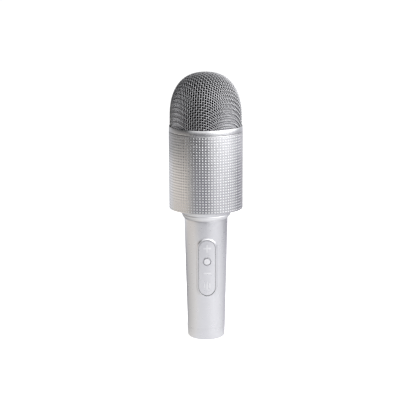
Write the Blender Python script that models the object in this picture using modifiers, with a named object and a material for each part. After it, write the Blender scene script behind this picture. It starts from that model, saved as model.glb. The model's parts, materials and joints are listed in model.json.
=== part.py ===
"""A hand-held karaoke microphone with a loudspeaker in its head, standing on the foot of its handle.

Run it with blender --background --python part.py, or from Blender's text editor. Lengths are in metres, +Z is up,
the keys face -Y, and the origin is the middle of the foot.

The handle holds the battery, the board and the keypad. A round head sits on its neck: a closed cup behind the
loudspeaker, a frame with four posts, a perforated sleeve round both, and a woven wire dome that screws on top
over the microphone capsule.
"""

import math

import bmesh
import bpy
from mathutils import Vector

MM = 0.001

# Clearances
FIT_GAP = 0.3 * MM  # between two pieces that seat on or in each other
SLIDE_GAP = 0.35 * MM  # round a key in the keypad
SCREW_GAP = 0.3 * MM  # between a screw and its hole

# Handle
HANDLE_HEIGHT = 115.2 * MM
HANDLE_TOP_RADIUS = 20.4 * MM
HANDLE_FOOT_RADIUS = 17.45 * MM
HANDLE_WALL = 1.8 * MM
END_CAP_HEIGHT = 10.4 * MM
END_CAP_CORNER = 2.4 * MM
END_CAP_FLOOR = 3.0 * MM
SPIGOT_WALL = 1.2 * MM
SPIGOT_HEIGHT = 4.5 * MM

# Keypad
KEYPAD_WIDTH = 15.3 * MM
KEYPAD_LENGTH = 52.8 * MM
KEYPAD_MIDDLE = 70.6 * MM
KEYPAD_BACK = 2.3 * MM  # from the handle's surface in to the keypad's flat back
FACE_OFFSET = 5.0 * MM  # how far behind the handle's axis the flatter keypad face is centred
SURROUND_WIDTH = 1.3 * MM
SURROUND_PROUD = 0.4 * MM
SURROUND_DEPTH = 3.6 * MM  # from the keypad's crest in to the back of the surround
KEYPAD_PROUD = 0.35 * MM
GLYPH_PROUD = 0.75 * MM
KEYS_ABOVE_MIDDLE = (19.0 * MM, 6.4 * MM, -4.9 * MM, -16.9 * MM)  # from the top key down
GLYPH_SIZE = 7.5 * MM
GLYPH_STROKE = 1.15 * MM
POWER_KEY_RADIUS = 3.4 * MM
KEY_FLANGE_RADIUS = 4.9 * MM
KEY_FLANGE_DEPTH = 1.0 * MM
KEY_TRAVEL = 0.5 * MM
PLUNGER_RADIUS = 1.6 * MM
PLUNGER_LENGTH = 2.0 * MM
PLUNGER_SHOWING = 1.0 * MM
SWITCH_SIDE = 6.0 * MM

# Board, sockets and battery
BOARD_WIDTH = 16.4 * MM
BOARD_THICKNESS = 1.6 * MM
BOARD_BELOW_TOP = 13.2 * MM  # from the top of the handle down to the board
SWITCH_DEPTH = 3.3 * MM
SOCKET_FOOT = 1.0 * MM
USB_WIDTH = 8.94 * MM
USB_THICKNESS = 3.26 * MM
USB_DEPTH = 7.4 * MM
USB_SHEET = 0.32 * MM
USB_X = -4.7 * MM
JACK_WIDTH = 6.4 * MM
JACK_THICKNESS = 5.2 * MM
JACK_DEPTH = 11.0 * MM
JACK_BORE_RADIUS = 1.8 * MM
JACK_HOLE_MARGIN = 1.1 * MM
JACK_X = 5.3 * MM
BATTERY_RADIUS = 9.2 * MM
BATTERY_LENGTH = 65.0 * MM
BATTERY_FOOT = 24.0 * MM
BATTERY_Y = 4.8 * MM
CRADLE_WALL = 2.6 * MM
CRADLE_BELOW_TOP = 17.2 * MM  # from the top of the handle down to the cradle
CRADLE_BEHIND_BOARD = 0.5 * MM
CAP_SCREW_X = 8.5 * MM
HEAD_SUNK = 0.3 * MM  # how far the end cap's screw heads sit above the foot
CAP_SCREW_Y = 1.0 * MM

# Screws
SCREW_RADIUS = 1.0 * MM
SCREW_HEAD_RADIUS = 1.9 * MM
SCREW_HEAD_HEIGHT = 1.2 * MM
CAP_SCREW_LENGTH = 22.0 * MM
FRAME_SCREW_LENGTH = 14.0 * MM
DRIVER_SCREW_RADIUS = 0.9 * MM
DRIVER_SCREW_HEAD_RADIUS = 1.5 * MM
DRIVER_SCREW_LENGTH = 3.8 * MM

# Neck
NECK_TUBE_WALL = 2.0 * MM
NECK_TUBE_DEPTH = 11.0 * MM  # how far it reaches into the handle
NECK_RING_FLARE = 2.5 * MM  # how far it stands out from the top of the handle
NECK_RING_HEIGHT = 4.5 * MM
NECK_RING_CHAMFER = 2.4 * MM

# Head
HEAD_RADIUS = 34.5 * MM
SLEEVE_WALL = 0.7 * MM
SLEEVE_HEIGHT = 72.4 * MM
SLEEVE_CORNER = 2.8 * MM
SLEEVE_ABOVE_NECK = 4.7 * MM
CUP_WALL = 1.5 * MM
CUP_FLOOR = 1.5 * MM
CUP_WALL_TOP = 25.8 * MM  # above the foot of the sleeve
CUP_LIP_DROP = 0.4 * MM  # how far the cup's underside shows below the sleeve
CUP_SWEEP = 2.6 * MM  # from the neck ring out to where the underside turns flat
CLOTH_THICKNESS = 0.25 * MM
POST_WIDTH = 6.0 * MM
POST_DEPTH = 2.7 * MM
FRAME_RING_HEIGHT = 3.0 * MM
FRAME_TOP_HEIGHT = 3.5 * MM
SCREW_BOSS_RADIUS = 2.2 * MM
BOSS_INSET = 1.6 * MM  # from the cup's inner wall in to a screw's middle

# Loudspeaker, a driver of 54 mm across that faces up
DRIVER_FLANGE_RADIUS = 27.0 * MM
DRIVER_OPENING_RADIUS = 23.6 * MM
DRIVER_SCREW_PITCH_RADIUS = 25.2 * MM
CONE_RADIUS = 19.4 * MM
COIL_RADIUS = 10.0 * MM
COIL_WALL = 0.4 * MM
COIL_GAP = 0.4 * MM
MAGNET_RADIUS = 17.5 * MM
MAGNET_HEIGHT = 4.2 * MM
PLATE_HEIGHT = 1.8 * MM

# Microphone capsule
CAPSULE_RADIUS = 7.6 * MM
CAPSULE_LENGTH = 16.0 * MM
CAPSULE_FOOT_ABOVE_DECK = 6.2 * MM
DECK_THICKNESS = 2.0 * MM
DECK_LEDGE = 2.2 * MM  # how far the deck rests on the frame's ledge
RUBBER_WALL = 2.1 * MM
HOLDER_WALL = 1.7 * MM
CABLE_HOLE_RADIUS = 2.4 * MM

# Dome, screwed on
DOME_WALL = 1.3 * MM
DOME_STRAIGHT = 8.4 * MM
DOME_CROWN = 42.7 * MM
DOME_SQUARENESS = 2.42  # exponent of the crown's outline: 2 is an ellipse, more is squarer
FOAM_THICKNESS = 2.5 * MM
FOAM_GAP = 0.5 * MM
RING_HEIGHT = 5.0 * MM
RING_TAPER = 0.2 * MM
RING_LIP_HEIGHT = 1.6 * MM
RING_LIP_WALL = 0.3 * MM
RING_WALL = 2.5 * MM  # from the ring's outside in to the thread
THREAD_WALL = 2.0 * MM
THREAD_LENGTH = 4.2 * MM
SEAL_HEIGHT = 0.9 * MM

# Leads
SPEAKER_LEAD_RADIUS = 0.6 * MM
MICROPHONE_LEAD_RADIUS = 0.8 * MM
LEAD_HOLE_RADIUS = 1.5 * MM
LEAD_ANGLE = math.radians(67.5)

# Facets
OUTER_SEGMENTS = 36
INNER_SEGMENTS = 20
SMALL_SEGMENTS = 12
FACE_SEGMENTS = 64
LEAD_STEPS = 3  # between two points of a lead's route

# Cutters that go right through
CUTTER_DEPTH = 20 * MM
CUTTER_START = 1 * MM  # how far ahead of a face a cutter starts

# Levels that several pieces share, from the foot up
CRADLE_TOP = HANDLE_HEIGHT - CRADLE_BELOW_TOP
BOARD_TOP = HANDLE_HEIGHT - BOARD_BELOW_TOP
NECK_RING_FOOT = HANDLE_HEIGHT + FIT_GAP
NECK_TOP = NECK_RING_FOOT + NECK_RING_HEIGHT + FIT_GAP
SLEEVE_FOOT = NECK_TOP + SLEEVE_ABOVE_NECK
SLEEVE_TOP = SLEEVE_FOOT + SLEEVE_HEIGHT
CUP_WALL_FOOT = SLEEVE_FOOT + SLEEVE_WALL + FIT_GAP
CUP_FLOOR_TOP = CUP_WALL_FOOT + CUP_FLOOR
CUP_TOP = SLEEVE_FOOT + CUP_WALL_TOP
FRAME_RING_FOOT = CUP_TOP + FIT_GAP
FRAME_RING_TOP = FRAME_RING_FOOT + FRAME_RING_HEIGHT
FRAME_SCREW_TIP = FRAME_RING_TOP + FIT_GAP - FRAME_SCREW_LENGTH
RING_FOOT = SLEEVE_TOP + FIT_GAP
SHOULDER_TOP = RING_FOOT - 2 * FIT_GAP - SEAL_HEIGHT
DECK_FOOT = SHOULDER_TOP + FIT_GAP
DECK_TOP = DECK_FOOT + DECK_THICKNESS
THREAD_TOP = RING_FOOT + THREAD_LENGTH
RING_TOP = RING_FOOT + RING_HEIGHT
DOME_FOOT = RING_TOP - RING_LIP_HEIGHT + FIT_GAP
CROWN_FOOT = DOME_FOOT + DOME_STRAIGHT

# Radii that several pieces share
SLEEVE_INSIDE = HEAD_RADIUS - SLEEVE_WALL
CLOTH_RADIUS = SLEEVE_INSIDE - FIT_GAP
CUP_RADIUS = CLOTH_RADIUS - CLOTH_THICKNESS - SLIDE_GAP
FRAME_SCREW_PITCH_RADIUS = CUP_RADIUS - CUP_WALL - BOSS_INSET
SHOULDER_RADIUS = SLEEVE_INSIDE - FIT_GAP
THREAD_RADIUS = HEAD_RADIUS - RING_WALL
THREAD_INSIDE = THREAD_RADIUS - THREAD_WALL
DECK_RADIUS = THREAD_INSIDE - FIT_GAP
RING_INSIDE = THREAD_RADIUS + FIT_GAP
LEDGE_RADIUS = DECK_RADIUS - DECK_LEDGE
DOME_RADIUS = HEAD_RADIUS - RING_TAPER - RING_LIP_WALL - FIT_GAP


def handle_radius(height):
    """Outer radius of the tapered handle at a height."""
    share = height / HANDLE_HEIGHT
    return HANDLE_FOOT_RADIUS + (HANDLE_TOP_RADIUS - HANDLE_FOOT_RADIUS) * share


NECK_TUBE_RADIUS = handle_radius(HANDLE_HEIGHT - NECK_TUBE_DEPTH) - HANDLE_WALL - FIT_GAP
NECK_RING_RADIUS = HANDLE_TOP_RADIUS + NECK_RING_FLARE
KEYPAD_CREST = handle_radius(KEYPAD_MIDDLE)
KEYPAD_BACK_Y = -(KEYPAD_CREST - KEYPAD_BACK)
FORM_FRONT_Y = -(KEYPAD_CREST + 4 * MM)  # ahead of every raised face, where the forms to trim start
FLANGE_FRONT_Y = KEYPAD_BACK_Y + FIT_GAP
PLUNGER_FRONT_Y = FLANGE_FRONT_Y + KEY_FLANGE_DEPTH + FIT_GAP
SWITCH_FRONT_Y = PLUNGER_FRONT_Y + PLUNGER_SHOWING
BOARD_FRONT_Y = SWITCH_FRONT_Y + SWITCH_DEPTH + FIT_GAP
BOARD_BACK_Y = BOARD_FRONT_Y + BOARD_THICKNESS
USB_Y = BOARD_BACK_Y + FIT_GAP + USB_THICKNESS / 2
JACK_Y = BOARD_BACK_Y + FIT_GAP + JACK_THICKNESS / 2
CRADLE_FRONT_Y = BOARD_BACK_Y + CRADLE_BEHIND_BOARD
CRADLE_FOOT = END_CAP_HEIGHT + SPIGOT_HEIGHT + FIT_GAP
BOARD_FOOT = END_CAP_FLOOR + FIT_GAP
CAP_SCREW_SEAT = HEAD_SUNK + SCREW_HEAD_HEIGHT
SPIGOT_RADIUS = handle_radius(END_CAP_HEIGHT) - HANDLE_WALL - FIT_GAP
KEY_HEIGHTS = [KEYPAD_MIDDLE + above for above in KEYS_ABOVE_MIDDLE]


# ---------------------------------------------------------------- tools


def clear_scene():
    for old in list(bpy.data.objects):
        bpy.data.objects.remove(old)


def collection(name):
    made = bpy.data.collections.new(name)
    bpy.context.scene.collection.children.link(made)
    return made


def material(name, colour, roughness, metallic=0.0):
    made = bpy.data.materials.new(name)
    made.use_nodes = True
    shader = made.node_tree.nodes["Principled BSDF"]
    shader.inputs["Base Color"].default_value = (*colour, 1.0)
    shader.inputs["Roughness"].default_value = roughness
    shader.inputs["Metallic"].default_value = metallic
    return made


def place(name, mesh, finish, location=(0, 0, 0), rotation=(0, 0, 0)):
    """Puts a mesh in the microphone's collection. A piece with no finish is a cutter or a form."""
    made = bpy.data.objects.new(name, mesh)
    made.location = location
    made.rotation_euler = rotation
    if finish is None:
        TOOLS.objects.link(made)
        made.hide_render = True
        made.display_type = "WIRE"
    else:
        MICROPHONE.objects.link(made)
        mesh.materials.append(finish)
        mesh.shade_smooth()
        mesh.set_sharp_from_angle(angle=math.radians(35))
    return made


def turned(name, outline, finish, segments=INNER_SEGMENTS, on_axis=False, location=(0, 0, 0)):
    """A turned piece from its outline, as (radius, height) points that run down its outer side.

    A ring's outline closes on itself. A piece that is solid in the middle starts and ends on the axis.
    """
    mesh = bpy.data.meshes.new(name)
    corners = bmesh.new()
    points = [corners.verts.new((radius, 0, height)) for radius, height in outline]
    ends = points[1:] if on_axis else points[1:] + points[:1]
    for start, end in zip(points, ends):
        corners.edges.new((start, end))
    corners.to_mesh(mesh)
    corners.free()
    made = place(name, mesh, finish, location)
    screw = made.modifiers.new("turn", "SCREW")
    screw.steps = screw.render_steps = segments
    screw.use_merge_vertices = True
    screw.merge_threshold = 0.00001
    screw.use_smooth_shade = False
    return made


def box(name, size, middle, finish):
    mesh = bpy.data.meshes.new(name)
    shape = bmesh.new()
    bmesh.ops.create_cube(shape, size=1.0)
    bmesh.ops.scale(shape, vec=size, verts=shape.verts)
    shape.to_mesh(mesh)
    shape.free()
    return place(name, mesh, finish, middle)


def rod(name, radius, length, foot, finish, along="z", segments=SMALL_SEGMENTS):
    """A round rod that starts at foot and runs up +Z, or back along +Y."""
    mesh = bpy.data.meshes.new(name)
    shape = bmesh.new()
    bmesh.ops.create_cone(
        shape, cap_ends=True, segments=segments, radius1=radius, radius2=radius, depth=length
    )
    bmesh.ops.translate(shape, vec=(0, 0, length / 2), verts=shape.verts)
    shape.to_mesh(mesh)
    shape.free()
    turn = (-math.pi / 2, 0, 0) if along == "y" else (0, 0, 0)
    return place(name, mesh, finish, foot, turn)


def prism(name, outline, thickness, middle, finish, upright=True):
    """A flat outline with a thickness. Upright, its second coordinate is height and it is pushed along Y."""
    curve = bpy.data.curves.new(name, "CURVE")
    curve.dimensions = "2D"
    curve.fill_mode = "BOTH"
    curve.extrude = thickness / 2
    line = curve.splines.new("POLY")
    line.points.add(len(outline) - 1)
    for point, (across, up) in zip(line.points, outline):
        point.co = (across, up, 0, 1)
    line.use_cyclic_u = True
    guide = bpy.data.objects.new(name + "_outline", curve)
    guide.location = middle
    guide.rotation_euler = (math.pi / 2, 0, 0) if upright else (0, 0, 0)
    bpy.context.scene.collection.objects.link(guide)
    bpy.context.view_layer.update()
    mesh = bpy.data.meshes.new_from_object(
        guide.evaluated_get(bpy.context.evaluated_depsgraph_get())
    )
    shape = bmesh.new()
    shape.from_mesh(mesh)
    bmesh.ops.remove_doubles(shape, verts=shape.verts, dist=0.00001)
    shape.to_mesh(mesh)
    shape.free()
    mesh.materials.clear()
    made = place(name, mesh, finish, guide.location, guide.rotation_euler)
    bpy.data.objects.remove(guide)
    return made


def boolean(target, tool, operation):
    change = target.modifiers.new(operation.lower(), "BOOLEAN")
    change.operation = operation
    change.object = tool


def cut(target, *tools):
    for tool in tools:
        boolean(target, tool, "DIFFERENCE")


def join(target, *others):
    for other in others:
        boolean(target, other, "UNION")


def trim(target, form):
    boolean(target, form, "INTERSECT")


def arc(middle, radius, start, end, steps):
    """Points on a circular arc, as (radius, height), with its angles in degrees."""
    turns = [math.radians(start + (end - start) * step / steps) for step in range(steps + 1)]
    return [(middle[0] + radius * math.cos(a), middle[1] + radius * math.sin(a)) for a in turns]


def around(pitch_radius, angle, height=0.0):
    return Vector((pitch_radius * math.cos(angle), pitch_radius * math.sin(angle), height))


def stadium(width, length, steps=8):
    """An upright slot with round ends, counter-clockwise."""
    end = width / 2
    straight = length / 2 - end
    return arc((0, straight), end, 0, 180, steps) + arc((0, -straight), end, 180, 360, steps)


def rounded_slot(width, thickness, steps=4):
    """A slot that lies flat, with round ends."""
    end = thickness / 2
    straight = width / 2 - end
    return arc((straight, 0), end, -90, 90, steps) + arc((-straight, 0), end, 90, 270, steps)


def circle(radius, steps):
    return arc((0, 0), radius, 0, 360 * (steps - 1) / steps, steps - 1)


def plus_outline(size, stroke):
    arm, half = size / 2, stroke / 2
    corner = [(half, half), (half, arm), (-half, arm)]
    points = []
    for quarter in range(4):
        turn = quarter * math.pi / 2
        points += [
            (x * math.cos(turn) - y * math.sin(turn), x * math.sin(turn) + y * math.cos(turn))
            for x, y in corner
        ]
    return points


def grown(outline, by):
    """A star-shaped or convex outline pushed out by a gap, each corner along its bisector."""
    made = []
    count = len(outline)
    for index, point in enumerate(outline):
        before = Vector(outline[index - 1])
        here = Vector(point)
        after = Vector(outline[(index + 1) % count])
        first = (here - before).normalized()
        second = (after - here).normalized()
        normal_in = Vector((first.y, -first.x))
        normal_out = Vector((second.y, -second.x))
        bisector = (normal_in + normal_out).normalized()
        made.append(tuple(here + bisector * (by / max(bisector.dot(normal_in), 0.3))))
    return made


# ---------------------------------------------------------------- handle


def face_form(proud):
    """The flatter face that the keypad and its keys end on, as a form to trim them with."""
    low, high = 20 * MM, HANDLE_HEIGHT
    outline = [(0, high)]
    outline += [(handle_radius(level) + FACE_OFFSET + proud, level) for level in (high, low)]
    outline += [(0, low)]
    name = f"face_form_{round(proud / MM * 100)}"
    return turned(name, outline, None, FACE_SEGMENTS, on_axis=True, location=(0, FACE_OFFSET, 0))


def handle_shell():
    foot = END_CAP_HEIGHT + FIT_GAP
    outer = [(handle_radius(level), level) for level in (HANDLE_HEIGHT, foot)]
    inner = [(radius - HANDLE_WALL, level) for radius, level in reversed(outer)]
    shell = turned("handle_shell", outer + inner, PAINTED, OUTER_SEGMENTS)
    # The raised surround starts inside the wall and ends on the flatter face.
    surround = stadium(KEYPAD_WIDTH + 2 * SURROUND_WIDTH, KEYPAD_LENGTH + 2 * SURROUND_WIDTH)
    back = -(KEYPAD_CREST - SURROUND_DEPTH)
    middle = (0, (back + FORM_FRONT_Y) / 2, KEYPAD_MIDDLE)
    boss = prism("surround_form", surround, back - FORM_FRONT_Y, middle, None)
    trim(boss, face_form(SURROUND_PROUD))
    join(shell, boss)
    window = stadium(KEYPAD_WIDTH + 2 * SLIDE_GAP, KEYPAD_LENGTH + 2 * SLIDE_GAP)
    cut(shell, prism("window_cutter", window, CUTTER_DEPTH, (0, -KEYPAD_CREST, KEYPAD_MIDDLE), None))
    return shell


def end_cap():
    rim = handle_radius(END_CAP_HEIGHT)
    inside = SPIGOT_RADIUS - SPIGOT_WALL
    spigot_top = END_CAP_HEIGHT + SPIGOT_HEIGHT
    corner = arc((HANDLE_FOOT_RADIUS - END_CAP_CORNER, END_CAP_CORNER), END_CAP_CORNER, 0, -90, 4)
    outline = [(0, END_CAP_FLOOR), (inside, END_CAP_FLOOR), (inside, spigot_top)]
    outline += [(SPIGOT_RADIUS, spigot_top), (SPIGOT_RADIUS, END_CAP_HEIGHT), (rim, END_CAP_HEIGHT)]
    outline += corner + [(0, 0)]
    cap = turned("end_cap", outline, PAINTED, OUTER_SEGMENTS, on_axis=True)
    port = rounded_slot(USB_WIDTH + 2 * FIT_GAP, USB_THICKNESS + 2 * FIT_GAP)
    through = END_CAP_FLOOR + 2 * CUTTER_START
    usb_middle = (USB_X, USB_Y, END_CAP_FLOOR / 2)
    cut(cap, prism("usb_cutter", port, through, usb_middle, None, upright=False))
    plug_hole = JACK_BORE_RADIUS + JACK_HOLE_MARGIN
    cut(cap, rod("jack_cutter", plug_hole, CUTTER_DEPTH, (JACK_X, JACK_Y, -CUTTER_START), None))
    for side in (-1, 1):
        foot = (side * CAP_SCREW_X, CAP_SCREW_Y, -CUTTER_START)
        cut(cap, rod(f"cap_hole_{side}", SCREW_RADIUS + SCREW_GAP, through, foot, None))
        sink = CAP_SCREW_SEAT + FIT_GAP + CUTTER_START
        cut(cap, rod(f"cap_sink_{side}", SCREW_HEAD_RADIUS + SCREW_GAP, sink, foot, None))
    return cap


def screw(name, shank_radius, head_radius, length, head_foot, driven="down"):
    """A pan-head screw along Z. Its shank runs down from its head, or up where it is driven from below."""
    way = 1 if driven == "down" else -1
    x, y, z = head_foot
    top = z + way * SCREW_HEAD_HEIGHT
    tip = z - way * length
    outline = [(0, top), (head_radius * 0.8, top), (head_radius, z + way * SCREW_HEAD_HEIGHT / 2)]
    outline += [(head_radius, z), (shank_radius, z), (shank_radius, tip + way * shank_radius)]
    outline += [(0, tip)]
    if way < 0:
        outline.reverse()
    return turned(name, outline, ZINC, SMALL_SEGMENTS, on_axis=True, location=(x, y, 0))


def end_cap_screws():
    for number, side in enumerate((-1, 1), 1):
        middle = (side * CAP_SCREW_X, CAP_SCREW_Y, CAP_SCREW_SEAT)
        name = f"end_cap_screw_{number}"
        screw(name, SCREW_RADIUS, SCREW_HEAD_RADIUS, CAP_SCREW_LENGTH, middle, driven="up")


# ---------------------------------------------------------------- keypad and keys


def bar(width, height, across=0.0):
    """A rounded bar, as an outline moved across."""
    steps = 4
    if width > height:
        return [(x + across, y) for x, y in rounded_slot(width, height, steps)]
    return [(x + across, y) for x, y in stadium(width, height, steps)]


def glyphs():
    """The raised shapes on each key, from the top key down: louder, on and off, softer, sound mode."""
    heights = (0.55, 1.0, 0.75)
    spacing = GLYPH_SIZE / 3
    mode = [
        bar(GLYPH_STROKE, GLYPH_SIZE * share, (column - 1) * spacing)
        for column, share in enumerate(heights)
    ]
    return {
        "plus": [plus_outline(GLYPH_SIZE, GLYPH_STROKE)],
        "power": [circle(POWER_KEY_RADIUS, 24)],
        "minus": [bar(GLYPH_SIZE, GLYPH_STROKE)],
        "mode": mode,
    }


def keypad():
    thickness = KEYPAD_BACK_Y - FORM_FRONT_Y
    middle = (0, (KEYPAD_BACK_Y + FORM_FRONT_Y) / 2, KEYPAD_MIDDLE)
    plate = prism("keypad", stadium(KEYPAD_WIDTH, KEYPAD_LENGTH), thickness, middle, PAINTED)
    trim(plate, face_form(KEYPAD_PROUD))
    for (name, shapes), height in zip(glyphs().items(), KEY_HEIGHTS):
        for index, outline in enumerate(shapes):
            hole = grown(outline, SLIDE_GAP)
            place_at = (0, -KEYPAD_CREST, height)
            cut(plate, prism(f"{name}_opening_{index}", hole, CUTTER_DEPTH, place_at, None))
    return plate


def keys():
    """Each key is a flange behind the keypad with its glyph standing through it, and moves with a plunger."""
    form = face_form(GLYPH_PROUD)
    back = FLANGE_FRONT_Y + KEY_FLANGE_DEPTH / 2
    for (name, shapes), height in zip(glyphs().items(), KEY_HEIGHTS):
        start = (0, FLANGE_FRONT_Y, height)
        key = rod(
            f"{name}_key", KEY_FLANGE_RADIUS, KEY_FLANGE_DEPTH, start, KEY_FINISH, "y", SMALL_SEGMENTS
        )
        trim(key, form)
        for index, outline in enumerate(shapes):
            middle = (0, (back + FORM_FRONT_Y) / 2, height)
            stem = prism(f"{name}_stem_{index}", outline, back - FORM_FRONT_Y, middle, None)
            trim(stem, form)
            join(key, stem)
        place_plunger = (0, PLUNGER_FRONT_Y, height)
        rod(f"{name}_plunger", PLUNGER_RADIUS, PLUNGER_LENGTH, place_plunger, BLACK_PLASTIC, "y")


def switches():
    for name, height in zip(glyphs(), KEY_HEIGHTS):
        middle = (0, SWITCH_FRONT_Y + SWITCH_DEPTH / 2, height)
        body = box(f"{name}_switch", (SWITCH_SIDE, SWITCH_DEPTH, SWITCH_SIDE), middle, STEEL)
        pocket = PLUNGER_LENGTH - PLUNGER_SHOWING + KEY_TRAVEL + FIT_GAP
        start = (0, SWITCH_FRONT_Y - CUTTER_START, height)
        hole = PLUNGER_RADIUS + FIT_GAP
        cut(body, rod(f"{name}_pocket", hole, pocket + CUTTER_START, start, None, "y"))


# ---------------------------------------------------------------- board, sockets and battery


def board():
    height = BOARD_TOP - BOARD_FOOT
    middle = (0, BOARD_FRONT_Y + BOARD_THICKNESS / 2, BOARD_FOOT + height / 2)
    box("main_board", (BOARD_WIDTH, BOARD_THICKNESS, height), middle, BOARD_GREEN)
    module_depth = 2.0 * MM
    module_y = BOARD_FRONT_Y - FIT_GAP - module_depth / 2
    box("radio_module", (11 * MM, module_depth, 16 * MM), (0, module_y, 30 * MM), STEEL)


def sockets():
    usb_middle = (USB_X, USB_Y, SOCKET_FOOT + USB_DEPTH / 2)
    outer = rounded_slot(USB_WIDTH, USB_THICKNESS)
    shell = prism("usb_socket", outer, USB_DEPTH, usb_middle, STEEL, upright=False)
    inner = rounded_slot(USB_WIDTH - 2 * USB_SHEET, USB_THICKNESS - 2 * USB_SHEET)
    mouth = (USB_X, USB_Y, usb_middle[2] - CUTTER_START)
    cut(shell, prism("usb_mouth", inner, USB_DEPTH, mouth, None, upright=False))
    tongue = (6.6 * MM, 0.7 * MM, USB_DEPTH - 1.6 * MM - FIT_GAP)
    tongue_middle = (USB_X, USB_Y, SOCKET_FOOT + 0.6 * MM + tongue[2] / 2)
    box("usb_tongue", tongue, tongue_middle, BLACK_PLASTIC)
    jack_foot = END_CAP_FLOOR + FIT_GAP
    jack_middle = (JACK_X, JACK_Y, jack_foot + JACK_DEPTH / 2)
    jack = box("audio_jack", (JACK_WIDTH, JACK_THICKNESS, JACK_DEPTH), jack_middle, BLACK_PLASTIC)
    bore_foot = (JACK_X, JACK_Y, jack_foot - CUTTER_START)
    cut(jack, rod("jack_bore", JACK_BORE_RADIUS, JACK_DEPTH - CUTTER_START, bore_foot, None))


def battery():
    foot = (0, BATTERY_Y, BATTERY_FOOT)
    rod("battery", BATTERY_RADIUS, BATTERY_LENGTH, foot, BATTERY_WRAP, "z", INNER_SEGMENTS)
    half = BATTERY_RADIUS + FIT_GAP + CRADLE_WALL
    depth = BATTERY_Y - CRADLE_FRONT_Y
    height = CRADLE_TOP - CRADLE_FOOT
    middle = (0, CRADLE_FRONT_Y + depth / 2, CRADLE_FOOT + height / 2)
    cradle = box("battery_cradle", (2 * half, depth, height), middle, BLACK_PLASTIC)
    inside = [(handle_radius(level) - HANDLE_WALL - FIT_GAP, level) for level in (HANDLE_HEIGHT, 0)]
    trim(cradle, turned("cradle_form", [(0, HANDLE_HEIGHT), *inside, (0, 0)], None, on_axis=True))
    bed = BATTERY_RADIUS + FIT_GAP
    below = (0, BATTERY_Y, BATTERY_FOOT - FIT_GAP)
    cut(cradle, rod("battery_bed", bed, HANDLE_HEIGHT, below, None, "z", INNER_SEGMENTS))
    for side in (-1, 1):
        foot = (side * CAP_SCREW_X, CAP_SCREW_Y, CAP_SCREW_SEAT)
        depth = CAP_SCREW_LENGTH + FIT_GAP
        cut(cradle, rod(f"cradle_hole_{side}", SCREW_RADIUS + SCREW_GAP, depth, foot, None))


# ---------------------------------------------------------------- neck and head


def neck_ring():
    foot, top = NECK_RING_FOOT, NECK_RING_FOOT + NECK_RING_HEIGHT
    inside = NECK_TUBE_RADIUS + FIT_GAP
    outline = [(inside, top), (NECK_RING_RADIUS - 0.3 * MM, top)]
    outline += [(NECK_RING_RADIUS, top - 0.4 * MM)]
    outline += [(NECK_RING_RADIUS - 0.5 * MM, foot + NECK_RING_CHAMFER)]
    outline += [(HANDLE_TOP_RADIUS + 0.1 * MM, foot), (inside, foot)]
    turned("neck_ring", outline, PEARL, OUTER_SEGMENTS)


def speaker_cup():
    """The closed chamber behind the loudspeaker, with the neck tube that goes down into the handle."""
    lip = SLEEVE_INSIDE - SLEEVE_CORNER + SLEEVE_WALL - FIT_GAP
    wall_foot = CUP_WALL_FOOT
    under = SLEEVE_FOOT - CUP_LIP_DROP
    inside = CUP_RADIUS - CUP_WALL
    neck_inside = NECK_TUBE_RADIUS - NECK_TUBE_WALL
    neck_foot = HANDLE_HEIGHT - NECK_TUBE_DEPTH
    floor_top = CUP_FLOOR_TOP
    outline = [(CUP_RADIUS, CUP_TOP), (CUP_RADIUS, wall_foot + 1.2 * MM), (lip, wall_foot), (lip, under)]
    outline += [(NECK_RING_RADIUS + CUP_SWEEP, under - 0.3 * MM)]
    outline += [(NECK_RING_RADIUS + 0.6 * MM, NECK_TOP + 1.9 * MM), (NECK_RING_RADIUS, NECK_TOP)]
    outline += [(NECK_TUBE_RADIUS, NECK_TOP), (NECK_TUBE_RADIUS, neck_foot)]
    outline += [(neck_inside, neck_foot), (neck_inside, floor_top), (inside, floor_top)]
    outline += [(inside, CUP_TOP)]
    cup = turned("speaker_cup", outline, PAINTED, OUTER_SEGMENTS)
    for corner in range(4):
        angle = math.radians(45 + 90 * corner)
        foot = around(FRAME_SCREW_PITCH_RADIUS, angle, floor_top - 0.5 * MM)
        height = CUP_TOP - foot.z
        boss = rod(f"boss_form_{corner}", SCREW_BOSS_RADIUS, height, foot, None, segments=12)
        join(cup, boss)
        hole_foot = around(FRAME_SCREW_PITCH_RADIUS, angle, FRAME_SCREW_TIP - FIT_GAP)
        hole = SCREW_RADIUS + SCREW_GAP
        cut(cup, rod(f"boss_hole_{corner}", hole, 2 * CUTTER_DEPTH, hole_foot, None, segments=12))


def sleeve():
    """The perforated sleeve round the head. Its foot turns in under the cup."""
    middle = (HEAD_RADIUS - SLEEVE_CORNER, SLEEVE_FOOT + SLEEVE_CORNER)
    outer = [(HEAD_RADIUS, SLEEVE_TOP)] + arc(middle, SLEEVE_CORNER, 0, -90, 4)
    inner = arc(middle, SLEEVE_CORNER - SLEEVE_WALL, -90, 0, 3) + [(SLEEVE_INSIDE, SLEEVE_TOP)]
    turned("speaker_sleeve", outer + inner, SATIN, OUTER_SEGMENTS)
    cloth_inside = CLOTH_RADIUS - CLOTH_THICKNESS
    cloth_foot = SLEEVE_FOOT + SLEEVE_CORNER + FIT_GAP
    cloth_top = SHOULDER_TOP - FRAME_TOP_HEIGHT - FIT_GAP
    cloth = [(CLOTH_RADIUS, cloth_top), (CLOTH_RADIUS, cloth_foot)]
    cloth += [(cloth_inside, cloth_foot), (cloth_inside, cloth_top)]
    turned("sleeve_cloth", cloth, CLOTH, OUTER_SEGMENTS)


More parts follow.
